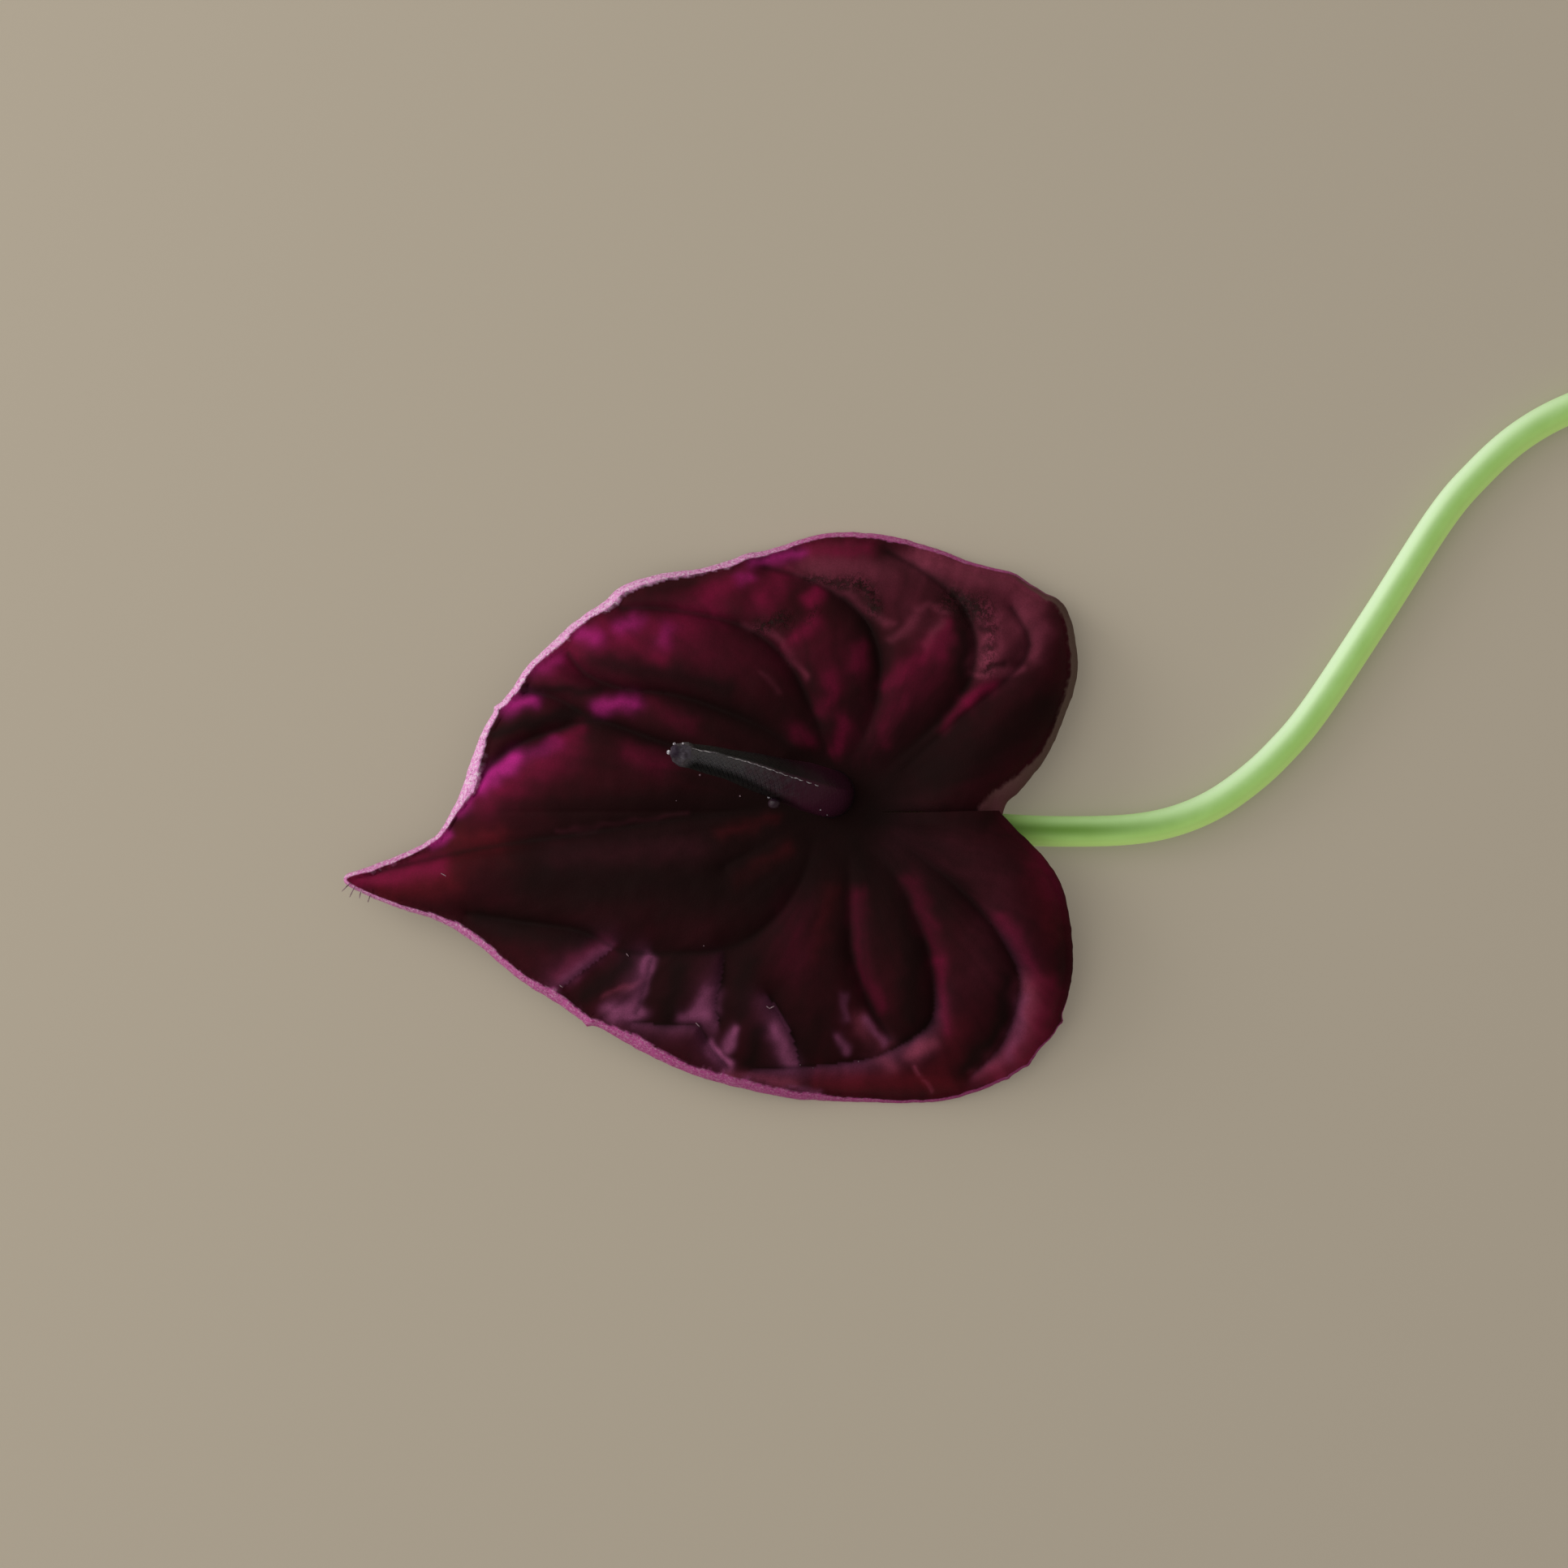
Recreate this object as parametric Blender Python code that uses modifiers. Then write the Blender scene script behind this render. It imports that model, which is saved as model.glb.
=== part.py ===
"""Cut anthurium flower, lying face up on a table.

Three pieces: the heart-shaped spathe with its quilted relief and rolled margin,
the spadix with its rows of florets, and the S-curved stem.
Lengths are millimetres in the code and metres in the scene. +Z is up, +X runs
from the flower towards the stem, and the origin is on the table under the flower.
"""
import math
from typing import NamedTuple

import bmesh
import bpy
import numpy as np
from mathutils import Vector, geometry

MM = 0.001
# Lengths under this count as nothing
LEAST_LENGTH = 1e-6
# Share of the way from one route point to the next at which a curve is read
CURVE_SHARE = 0.05


class Vein(NamedTuple):
    """A sunken vein: its depth, how far its hollow reaches to each side, and its route."""

    depth: float
    left: float
    right: float
    route: list


# Middle of the spathe, where its veins meet, from the origin under the middle of the whole
FLOWER_PLACE = (-37.55, -12.15)

# Spathe: overall sizes
SPATHE_THICKNESS = 0.9
SEAT_GAP = 0.3
FLOOR = 0.0

# Spathe: heights of the middle of the blade above the table
CENTRE_HEIGHT = 9.7
SHOULDER_RISE = 2.6
SHOULDER_LEAST = 0.8
SHOULDER_SPREAD = 0.6
MARGIN_POWER = 2.4
# This makes out * out * (1 - out) reach 1 at its highest
SWELL_TO_ONE = 6.75

# Heights of the margin's crest, by the angle round the spadix
MARGIN_HEIGHTS = [
    (0, 7.8), (12, 7.2), (30, 5.0), (52, 2.8), (78, -0.5), (92, -0.5), (110, 1.4), (130, 4.2), (155, 6.2),
    (175, 6.0), (188, 4.2), (200, 5.6), (222, 5.4), (245, 3.2), (268, -0.5), (284, -0.5),
    (312, 3.0), (335, 6.8), (350, 8.6), (360, 9.0),
]

# Width of the rolled lip along the margin, by the same angle
LIP_WIDTHS = [
    (0, 1.2), (12, 1.9), (18, 1.4), (25, 1.2), (34, 1.5), (45, 1.2), (55, 1.0), (90, 1.2), (110, 1.0),
    (116, 1.3), (122, 0.9), (132, 1.2), (150, 1.5), (160, 1.2), (172, 1.7), (177, 1.8), (183, 0.8),
    (188, 0.7), (192, 0.9), (197, 1.5), (213, 1.7), (221, 1.5), (227, 2.4), (240, 1.8), (262, 1.7),
    (268, 1.1), (280, 0.7), (360, 0.7),
]
LIP_RISE = 0.9
LIP_FOOT = 0.6
LIP_BETWEEN_VEINS = 0.75
LIP_AT_VEINS = 1.25
LIP_VEIN_REACH = 2.0

# Quilting: height of the pillows between the sunken veins
PILLOW_AT_CENTRE = 0.4
PILLOW_AT_MARGIN = 2.5
PILLOW_GROWS = (0.1, 0.6)
PILLOW_STARTS = (3.0, 9.0)
PILLOW_LIP_REACH = 1.4

# Slit between the two lobes, from the sinus almost to the spadix
SLIT_START = 4.5
SLIT_HALF_WIDTH = 0.2
SLIT_OPEN_BY = 10.0
LOBE_LAP_BY = 18.0
LOBE_STEP = 0.8
UPPER_LOBE_TURN = math.radians(7.0)
LOWER_LOBE_TURN = math.radians(0.6)
LOBE_BLEND = math.radians(24.0)
LAP_BLEND = math.radians(12.0)

# Outline of the spathe from the sinus, over the upper lobe and the tip, back to the sinus
OUTLINE = [
    (22.8, 1.0), (23.5, 3.1), (25.5, 4.6), (27.7, 6.7), (29.7, 8.9), (31.4, 11.7), (32.8, 15.0),
    (34.2, 18.7), (34.8, 22.7), (34.4, 27.1), (33.6, 30.3), (32.2, 32.6), (30.3, 33.6), (27.5, 35.3),
    (25.0, 37.0), (21.4, 37.9), (17.7, 39.0), (15.1, 40.1), (12.0, 41.2), (8.0, 42.4), (3.3, 43.2),
    (-1.7, 43.4), (-5.8, 42.9), (-9.8, 41.6), (-13.8, 40.4), (-16.3, 40.0), (-19.2, 38.8),
    (-23.3, 37.6), (-27.2, 37.1), (-30.1, 36.6), (-33.6, 35.6), (-36.3, 34.3), (-38.4, 32.3),
    (-42.7, 29.3), (-46.7, 25.6), (-50.1, 22.2), (-52.8, 18.4), (-55.1, 15.4), (-57.1, 12.0),
    (-59.0, 7.0), (-60.3, 3.0), (-61.8, 0.0), (-62.9, -2.0), (-64.6, -4.0), (-68.2, -6.0),
    (-74.1, -8.3), (-77.8, -9.6), (-78.5, -10.5), (-77.7, -11.5), (-74.9, -12.9), (-69.5, -15.0),
    (-65.1, -16.4), (-61.7, -17.9), (-57.4, -20.8), (-53.4, -24.2), (-50.1, -26.7), (-45.1, -29.8),
    (-41.6, -32.3), (-38.1, -33.7), (-35.1, -35.6), (-30.1, -38.3), (-25.1, -40.5), (-20.1, -42.1),
    (-15.0, -43.4), (-10.0, -44.5), (-5.0, -45.0), (5.2, -45.3), (10.2, -45.3), (15.2, -44.8),
    (20.3, -43.2), (24.3, -41.2), (27.3, -39.1), (29.3, -36.6), (31.2, -34.5), (32.4, -31.6),
    (33.5, -27.6), (34.0, -23.2), (33.7, -18.5), (33.1, -15.0), (32.0, -11.2), (29.9, -7.8),
    (27.5, -5.3), (25.5, -3.4), (23.6, -1.4), (22.8, -0.6),
]

# Sunken veins. A hollow reaches further on the side where the blade rises gently from the vein.
VEINS = {
    "midrib": Vein(0.8, 2.5, 2.5, [
        (-5, 0.2), (-14.6, 0.4), (-27.6, -1.3), (-43, -3.6), (-58.3, -5.9), (-74, -9.4)]),
    "upper_1": Vein(1.0, 2.2, 1.6, [
        (-4.5, 2.4), (-27.6, 10.1), (-37.6, 13.6), (-41.1, 13.8), (-45.3, 12.5), (-50.6, 10.6),
        (-55.3, 7.5), (-58.2, 3.6)]),
    "upper_1_fork": Vein(0.9, 2.0, 1.6, [(-40.4, 14.4), (-45.3, 17.3), (-50.4, 18.6)]),
    "upper_2": Vein(1.0, 2.4, 1.6, [
        (-4.8, 6.8), (-12.4, 12.1), (-20, 15.5), (-27.6, 17.9), (-35.4, 18.8), (-40.8, 21.0),
        (-43.6, 24.2)]),
    "upper_3": Vein(1.0, 2.4, 1.6, [
        (-3.4, 7.5), (-4.8, 12.1), (-7, 17.5), (-9.3, 22), (-12.4, 25.5), (-16.3, 28.1),
        (-23.1, 30.1), (-30.8, 31.2), (-35.4, 31.2)]),
    "upper_4": Vein(1.0, 2.4, 1.6, [
        (-0.1, 8.3), (2.9, 14.4), (4.1, 20.5), (3.8, 25.1), (1.4, 30.1), (-3.3, 33.9), (-8.5, 36.4),
        (-13.2, 37.6)]),
    "upper_5": Vein(1.0, 2.4, 1.6, [
        (5.3, 6.8), (11.4, 12.1), (15.1, 15.9), (18.3, 21.3), (18.6, 27.4), (16, 32.8), (10.6, 37.2),
        (5.6, 40.2)]),
    "upper_6": Vein(0.8, 2.2, 1.8, [
        (8, 6.6), (12.5, 11.0), (21.3, 18.3), (25.9, 22.8), (27, 26.6), (24.4, 31.3)]),
    "lower_1": Vein(0.9, 2.2, 1.6, [
        (-5.6, -3.4), (-8.2, -11.2), (-13.4, -17.6), (-19.6, -20.9), (-27.5, -21.6), (-35, -21.4),
        (-38.6, -19.6), (-43, -17.9), (-51.3, -16.8), (-59, -15.6)]),
    "lower_ray": Vein(0.6, 1.6, 1.6, [(-6.5, -1.2), (-12.5, -4.4), (-19.5, -8.3)]),
    "pocket_1": Vein(1.0, 5.0, 0.7, [(-37, -21.2), (-41.3, -24.4), (-44.2, -26.6)]),
    "pocket_2": Vein(1.0, 5.0, 0.7, [(-30.8, -22.4), (-31.5, -25.4), (-33.2, -31.0)]),
    "pocket_3": Vein(1.0, 5.0, 0.7, [(-19.6, -21.6), (-20, -25.4), (-21.1, -28.9), (-20.6, -31.9)]),
    "pocket_4": Vein(0.9, 4.0, 0.8, [
        (-33.4, -32.3), (-28, -32.8), (-23.6, -32.8), (-22, -36), (-19.2, -39.4)]),
    "pocket_5": Vein(0.9, 4.0, 0.8, [(-12.6, -28.5), (-9.4, -34), (-8.2, -38.6)]),
    "lower_3": Vein(0.9, 1.8, 1.8, [
        (-0.6, -6.5), (-0.4, -14), (-0.4, -20.5), (0.8, -25), (3, -30.4), (5.8, -34.8)]),
    "lower_4": Vein(1.0, 1.6, 2.2, [
        (2.4, -5.4), (6.9, -10.5), (9.9, -16.6), (11.5, -21.3), (12.3, -26.3), (12.2, -31.9),
        (9.1, -34.8), (5.4, -36.9), (1.1, -38.4), (-8.5, -39.4), (-15.5, -39.8)]),
    "lower_5": Vein(1.0, 1.6, 2.4, [
        (6.3, -3.8), (14.5, -10.1), (19.4, -15), (23.1, -20), (25.4, -25), (25.3, -29.3),
        (24.1, -33.5), (22, -37.3), (18.6, -40.6)]),
}

# Faces that meet at more than this angle keep a sharp edge
SHARP_ANGLE = math.radians(50.0)

# Spacing of the spathe's mesh points, and how clear the field stays of the lip and the slit
MARGIN_STEP = 2.6
FINE_MARGIN_STEP = 0.5
VEIN_STEP = 2.1
VEIN_FLANK = 1.2
LIP_CLEARANCE = 1.5
SLIT_CLEARANCE = 1.2
FIELD_STEP = 2.35
# Share of the lip's width at which its roll gets a line of its own
ROLL_LINE = 0.3
# Shares of their own spacing that new points stay clear of the earlier ones
LIP_LINE_CLEAR = 0.93
FLANK_CLEAR = 0.8
FLANK_APART = 0.6
FIELD_APART = 0.62
# Points of the plan closer than this, in millimetres, are one point
PLAN_TOLERANCE = 1e-5

# Spadix
SPADIX_BASE = (-3.4, 2.8)
SEAT_RADIUS = 4.3
# The seat's flatness has run out at this many of its radii
SEAT_BLEND = 2.2
SPADIX_ROUTE = [
    (0.0, 0.0, 0.0), (-0.6, 0.1, 3.2), (-3.6, 1.0, 8.2), (-9.2, 2.6, 14.8), (-15.5, 4.4, 22.0),
    (-22.8, 6.0, 30.0),
]
SPADIX_RADII = [
    (0.0, 3.45), (0.1, 3.6), (0.25, 3.6), (0.4, 3.1), (0.55, 2.7), (0.7, 2.1), (0.82, 1.95),
    (0.92, 1.65), (0.965, 1.9), (1.0, 1.3),
]
FLORETS_ROUND = 11
FLORET_SPACING = 0.86
FLORET_RISE = 0.28
# Share of their rise that the florets have lost at the tip
FLORET_FADE = 0.6
TIP_ROUNDING = 0.9

# Stem
STEM_RADIUS = 2.4
STEM_TOP = (-2.7, 2.0)
STEM_STRAIGHT = 0.7
STEM_ROUTE = [
    (-2.2, 1.9, 6.6), (-0.3, 1.5, 5.1), (4.4, 0.4, 4.1), (13.0, -1.6, 3.2), (24.6, -2.8, 2.6),
    (36.3, -3.1, 2.4), (47.9, -1.9, 2.4), (53.8, 0.0, 2.4), (59.8, 3.5, 2.4), (65.6, 8.5, 2.4),
    (71.4, 15.4, 2.4), (80.8, 29.7, 2.4), (90.7, 45.6, 2.4), (96.8, 52.8, 2.4), (103.2, 58.6, 2.4),
    (111.0, 62.8, 2.4), (121.0, 66.0, 2.4), (132.0, 67.6, 2.4), (143.0, 67.4, 2.4), (153.0, 65.6, 2.4),
]
STEM_STEP = 2.6
STEM_BEVEL_RESOLUTION = 4

# Plain colours and roughnesses
SPATHE_COLOUR = (0.085, 0.006, 0.035)
SPATHE_ROUGHNESS = 0.42
SPADIX_COLOUR = (0.020, 0.022, 0.026)
SPADIX_ROUGHNESS = 0.38
STEM_COLOUR = (0.36, 0.62, 0.14)
STEM_ROUGHNESS = 0.35


def smoothstep(value, low, high):
    """Rise smoothly from 0 at low to 1 at high."""
    part = np.clip((value - low) / (high - low), 0.0, 1.0)
    return part * part * (3.0 - 2.0 * part)


def smooth_route(points, step, closed=False):
    """Points about one step apart along a Catmull-Rom curve through the given points."""
    knots = np.array(points, float)
    if closed:
        knots = np.vstack([knots[-1], knots, knots[:2]])
    else:
        knots = np.vstack([2 * knots[0] - knots[1], knots, 2 * knots[-1] - knots[-2]])
    fine = []
    for before, start, end, after in zip(knots, knots[1:], knots[2:], knots[3:]):
        for part in np.arange(0.0, 1.0, CURVE_SHARE):
            square, cube = part * part, part ** 3
            fine.append(0.5 * (2 * start + (end - before) * part
                               + (2 * before - 5 * start + 4 * end - after) * square
                               + (3 * start - before - 3 * end + after) * cube))
    fine.append(knots[-2])
    fine = np.array(fine)
    along = np.concatenate([[0.0], np.cumsum(np.linalg.norm(np.diff(fine, axis=0), axis=1))])
    count = max(2, round(along[-1] / step) + 1)
    stations = np.linspace(0.0, along[-1], count)
    return np.column_stack([np.interp(stations, along, fine[:, axis]) for axis in range(fine.shape[1])])


def nearest_on_route(points, route):
    """Distance from each point to a route, and how far to one side of it the point is.

    The side is +1 square to the left of the route, -1 square to the right, and 0 straight past an end.
    """
    best = np.full(len(points), np.inf)
    side = np.ones(len(points))
    for start, end in zip(route, route[1:]):
        run = end - start
        offset = points - start
        part = np.clip(offset @ run / (run @ run), 0.0, 1.0)
        distance = np.linalg.norm(offset - part[:, None] * run, axis=1)
        nearer = distance < best
        best = np.where(nearer, distance, best)
        turned = (run[0] * offset[:, 1] - run[1] * offset[:, 0]) / math.hypot(*run)
        side = np.where(nearer, np.clip(turned / np.maximum(distance, LEAST_LENGTH), -1.0, 1.0), side)
    return best, side


def by_angle(table, angle):
    """Read a table of values by angle in degrees."""
    angles, values = zip(*table)
    return np.interp(np.degrees(angle), angles, values)


def polar(points):
    """Distance from the spadix and angle round it, from 0 to a full turn."""
    radius = np.hypot(points[:, 0], points[:, 1])
    angle = np.mod(np.arctan2(points[:, 1], points[:, 0]), math.tau)
    return radius, angle


class SpatheForm:
    """The spathe's outline, veins and height over the flat plan of the blade."""

    def __init__(self):
        self.margin = smooth_route(OUTLINE, MARGIN_STEP)
        self.fine_margin = smooth_route(OUTLINE, FINE_MARGIN_STEP)
        self.veins = {name: smooth_route(vein.route, VEIN_STEP) for name, vein in VEINS.items()}
        edge_radius, edge_angle = polar(self.fine_margin)
        self.edge_angle = edge_angle
        self.edge_radius = edge_radius

    def slit_sides(self):
        """Points along the slit from the sinus, in on the lower side and out on the upper."""
        lower = []
        upper = []
        for radius in np.arange(SLIT_START + 2.0, self.margin[0][0] - 1.0, MARGIN_STEP):
            lower.append((radius, -SLIT_HALF_WIDTH))
            upper.append((radius, SLIT_HALF_WIDTH))
        return lower[::-1] + [(SLIT_START, 0.0)] + upper

    def margin_distance(self, points):
        """Distance from the free edge, which the slit is not part of."""
        return nearest_on_route(points, self.fine_margin)[0]

    def relief(self, points):
        """Share of the pillows' full height at each point, from the distance to the veins."""
        share = np.ones(len(points))
        vein_distance = np.full(len(points), np.inf)
        for name, vein in VEINS.items():
            distance, side = nearest_on_route(points, self.veins[name])
            reach = vein.right + (vein.left - vein.right) * (0.5 + 0.5 * side)
            share *= 1.0 - vein.depth * np.exp(-distance / reach)
            vein_distance = np.minimum(vein_distance, distance)
        return share, vein_distance

    def lip_width(self, angle, vein_distance):
        """Width of the rolled lip, wider where a vein runs into it."""
        near_vein = np.exp(-vein_distance / LIP_VEIN_REACH)
        widening = LIP_BETWEEN_VEINS + (LIP_AT_VEINS - LIP_BETWEEN_VEINS) * near_vein
        return by_angle(LIP_WIDTHS, angle) * widening

    def height(self, points):
        """Height of the middle of the blade above the table."""
        radius, angle = polar(points)
        out = np.clip(radius / np.interp(angle, self.edge_angle, self.edge_radius), 0.0, 1.0)
        margin = by_angle(MARGIN_HEIGHTS, angle)
        shoulder = SHOULDER_LEAST + SHOULDER_RISE * np.abs(np.sin(angle)) ** SHOULDER_SPREAD
        swell = SWELL_TO_ONE * out * out * (1.0 - out) * shoulder
        base = swell + (margin - CENTRE_HEIGHT) * out ** MARGIN_POWER
        share, vein_distance = self.relief(points)
        rim = self.margin_distance(points)
        width = self.lip_width(angle, vein_distance)
        inside = np.maximum(rim - width, 0.0)
        growth = smoothstep(out, *PILLOW_GROWS)
        pillow = PILLOW_AT_CENTRE + (PILLOW_AT_MARGIN - PILLOW_AT_CENTRE) * growth
        pillow *= smoothstep(radius, *PILLOW_STARTS)
        field = pillow * share * (1.0 - np.exp(-inside / PILLOW_LIP_REACH))
        roll = np.clip((width - rim) / width, 0.0, 1.0)
        crest = LIP_RISE * (1.0 - smoothstep(inside, 0.0, LIP_FOOT))
        drop = width * (1.0 - np.sqrt(np.maximum(1.0 - roll * roll, 0.0)))
        seat = np.hypot(points[:, 0] - SPADIX_BASE[0], points[:, 1] - SPADIX_BASE[1])
        away = smoothstep(seat, SEAT_RADIUS, SEAT_BLEND * SEAT_RADIUS)
        return CENTRE_HEIGHT + away * (base + field) + crest - drop + self.lobe_step(radius, angle)

    def lobe_step(self, radius, angle):
        """Height that parts the two lobes where the lower one laps over the upper one."""
        opened = smoothstep(radius, SLIT_START, SLIT_OPEN_BY)
        near_upper = np.exp(-(angle / LOBE_BLEND) ** 2)
        near_lower = np.exp(-((math.tau - angle) / LOBE_BLEND) ** 2)
        return LOBE_STEP * opened * (near_lower - near_upper)

    def lap(self, points):
        """Turn the lobes' inner margins towards each other so that they overlap."""
        radius, angle = polar(points)
        lapped = smoothstep(radius, SLIT_OPEN_BY, LOBE_LAP_BY)
        upper = UPPER_LOBE_TURN * np.exp(-(angle / LAP_BLEND) ** 2)
        lower = LOWER_LOBE_TURN * np.exp(-((math.tau - angle) / LAP_BLEND) ** 2)
        turned = angle + lapped * (lower - upper)
        return np.column_stack([radius * np.cos(turned), radius * np.sin(turned)])


def beside_route(route, distance):
    """Points at a distance to the left of a route, or to its right where it is negative."""
    along = np.gradient(route, axis=0)
    left = np.column_stack([-along[:, 1], along[:, 0]])
    left /= np.linalg.norm(left, axis=1)[:, None]
    return route + left * np.reshape(distance, (-1, 1))


def apart(points, taken, distance):
    """Which points are further than a distance from all the points already taken."""
    return np.array([np.min(np.hypot(*(taken - point).T)) > distance for point in points], bool)


class Plan:
    """Points and edges of the blade's flat plan, for a constrained Delaunay triangulation."""

    def __init__(self, form):
        self.form = form
        loop = [tuple(point) for point in form.margin] + form.slit_sides()
        self.loop = list(range(len(loop)))
        self.points = loop
        self.edges = [(index, (index + 1) % len(loop)) for index in self.loop]

    def add_chain(self, points, kept=None):
        """Add points, joined by edges wherever two neighbours are both kept."""
        before = None
        for index, point in enumerate(points):
            if kept is not None and not kept[index]:
                before = None
                continue
            self.points.append(tuple(point))
            if before is not None:
                self.edges.append((before, len(self.points) - 1))
            before = len(self.points) - 1

    def add_loose(self, points, distance):
        """Add points that are clear of the earlier ones, with no edges."""
        for point in points[apart(points, np.array(self.points), distance)]:
            self.points.append(tuple(point))

    def add_lip(self):
        """Lines along the rolled lip: half-way up its roll, its crest and the crest's foot."""
        margin = self.form.margin
        _, angle = polar(margin)
        _, vein_distance = self.form.relief(margin)
        width = self.form.lip_width(angle, vein_distance)
        for part, extra in ((ROLL_LINE, 0.0), (1.0, 0.0), (1.0, LIP_FOOT)):
            inset = width * part + extra
            line = beside_route(margin, inset)
            self.add_chain(line, self.form.margin_distance(line) > LIP_LINE_CLEAR * inset)

    def add_veins(self):
        """A line along each vein's bottom, with loose points on both of its flanks."""
        for route in self.form.veins.values():
            self.add_chain(route)
        for route in self.form.veins.values():
            for side in (VEIN_FLANK, -VEIN_FLANK):
                flank = beside_route(route, np.full(len(route), side))
                clear = self.form.relief(flank)[1] > FLANK_CLEAR * VEIN_FLANK
                self.add_loose(flank[clear & self.inside(flank)], FLANK_APART * VEIN_FLANK)

    def add_field(self):
        """A staggered field of points over the rest of the blade."""
        low = self.form.margin.min(axis=0)
        high = self.form.margin.max(axis=0)
        field = []
        for index, row in enumerate(np.arange(low[1], high[1], FIELD_STEP * math.sqrt(0.75))):
            shift = FIELD_STEP / 2 if index % 2 else 0.0
            field.extend((column + shift, row) for column in np.arange(low[0], high[0], FIELD_STEP))
        field = np.array(field)
        self.add_loose(field[self.inside(field)], FIELD_APART * FIELD_STEP)

    def inside(self, points):
        """Which points are inside the margin's lip and clear of the slit."""
        radius, angle = polar(points)
        reach = np.interp(angle, self.form.edge_angle, self.form.edge_radius)
        slit = (points[:, 0] > SLIT_START - SLIT_CLEARANCE) & (np.abs(points[:, 1]) < SLIT_CLEARANCE)
        return (radius < reach) & (self.form.margin_distance(points) > LIP_CLEARANCE) & ~slit

    def triangulate(self):
        """The corners of the triangulated plan and its triangles."""
        corners = [Vector(point) for point in self.points]
        plan = geometry.delaunay_2d_cdt(corners, self.edges, [self.loop], 1, PLAN_TOLERANCE)
        return np.array([tuple(corner) for corner in plan[0]]), [tuple(face) for face in plan[2]]


def press_on_table(mesh):
    """Flatten what would reach below the table into small flat spots."""
    for vertex in mesh.vertices:
        vertex.co.z = max(vertex.co.z, FLOOR)


def build_spathe(collection, material):
    """The heart-shaped bract: an open triangulated sheet given its thickness by Solidify."""
    form = SpatheForm()
    plan = Plan(form)
    plan.add_lip()
    plan.add_veins()
    plan.add_field()
    flat, faces = plan.triangulate()
    corners = np.column_stack([form.lap(flat), form.height(flat)]) * MM
    sheet = bpy.data.meshes.new("spathe_sheet")
    sheet.from_pydata([tuple(corner) for corner in corners], [], faces)
    blade = add_object("spathe_blade", sheet, collection, material)
    solidify = blade.modifiers.new("thickness", "SOLIDIFY")
    solidify.thickness = SPATHE_THICKNESS * MM
    solidify.offset = 0.0
    spathe = apply_as_new(blade, "spathe", collection, material)
    press_on_table(spathe.data)
    shade_soft(spathe.data)
    return spathe


def shade_soft(mesh):
    """Shade a mesh smooth, with its creases kept sharp."""
    mesh.shade_smooth()
    mesh.set_sharp_from_angle(angle=SHARP_ANGLE)


def apply_as_new(source, name, collection, material):
    """Replace an object by one whose mesh holds the result of its modifiers."""
    bpy.context.view_layer.update()
    graph = bpy.context.evaluated_depsgraph_get()
    mesh = bpy.data.meshes.new_from_object(source.evaluated_get(graph))
    mesh.name = name
    bpy.data.objects.remove(source, do_unlink=True)
    mesh.materials.clear()
    return add_object(name, mesh, collection, material)


class SpadixForm:
    """The spadix's spine and thickness, row by row."""

    def __init__(self, seat_height):
        seat = np.array([SPADIX_BASE[0], SPADIX_BASE[1], seat_height])
        spine = smooth_route(SPADIX_ROUTE, FLORET_SPACING)
        self.last = len(spine) - 1
        self.spine = [Vector(point) for point in spine + seat]
        along = np.gradient(spine, axis=0)
        along[0] = (0.0, 0.0, 1.0)
        self.along = [Vector(run).normalized() for run in along]

    def point(self, row, turn, rise=0.0):
        """A point on the spadix's surface at a row, at an angle round it, raised from it."""
        across = Vector((0.0, 1.0, 0.0)).cross(self.along[row]).normalized()
        beside = self.along[row].cross(across)
        places, radii = zip(*SPADIX_RADII)
        radius = float(np.interp(row / self.last, places, radii)) + rise
        return (self.spine[row] + (across * math.cos(turn) + beside * math.sin(turn)) * radius) * MM

    def floret_rise(self, row):
        """Height of a floret's middle, which flattens towards the tip."""
        return FLORET_RISE * (1.0 - FLORET_FADE * row / self.last)

    def tip(self):
        """The rounded end's furthest point."""
        return (self.spine[-1] + self.along[-1] * TIP_ROUNDING) * MM


def build_spadix(collection, material, seat_height):
    """The spike of florets: each floret is a small raised diamond in crossing spirals."""
    form = SpadixForm(seat_height)
    step = math.tau / FLORETS_ROUND
    shape = bmesh.new()
    rows = []
    for row in range(form.last + 1):
        turns = [(column + 0.5 * (row % 2)) * step for column in range(FLORETS_ROUND)]
        rows.append([shape.verts.new(form.point(row, turn)) for turn in turns])
    for row in range(1, form.last):
        odd = row % 2
        for column in range(FLORETS_ROUND):
            after = (column + 1) % FLORETS_ROUND
            beside = after if odd else column
            corners = (rows[row][column], rows[row - 1][beside], rows[row][after], rows[row + 1][beside])
            turn = (column + 0.5 + 0.5 * odd) * step
            middle = shape.verts.new(form.point(row, turn, form.floret_rise(row)))
            for first, second in zip(corners, corners[1:] + corners[:1]):
                shape.faces.new((first, second, middle))
    close_spadix(shape, rows, shape.verts.new(form.tip()))
    bmesh.ops.recalc_face_normals(shape, faces=shape.faces)
    mesh = bpy.data.meshes.new("spadix")
    shape.to_mesh(mesh)
    shape.free()
    shade_soft(mesh)
    return add_object("spadix", mesh, collection, material)


def close_spadix(shape, rows, pole):
    """Close the zigzag at both ends: a flat base and a rounded tip."""
    base, above_base, below_end, end = rows[0], rows[1], rows[-2], rows[-1]
    end_odd = (len(rows) - 1) % 2
    shape.faces.new(base)
    for column in range(FLORETS_ROUND):
        after = (column + 1) % FLORETS_ROUND
        shape.faces.new((base[column], above_base[column], base[after]))
        shape.faces.new((end[column], end[after], below_end[after if end_odd else column]))
        shape.faces.new((end[column], end[after], pole))


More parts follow.
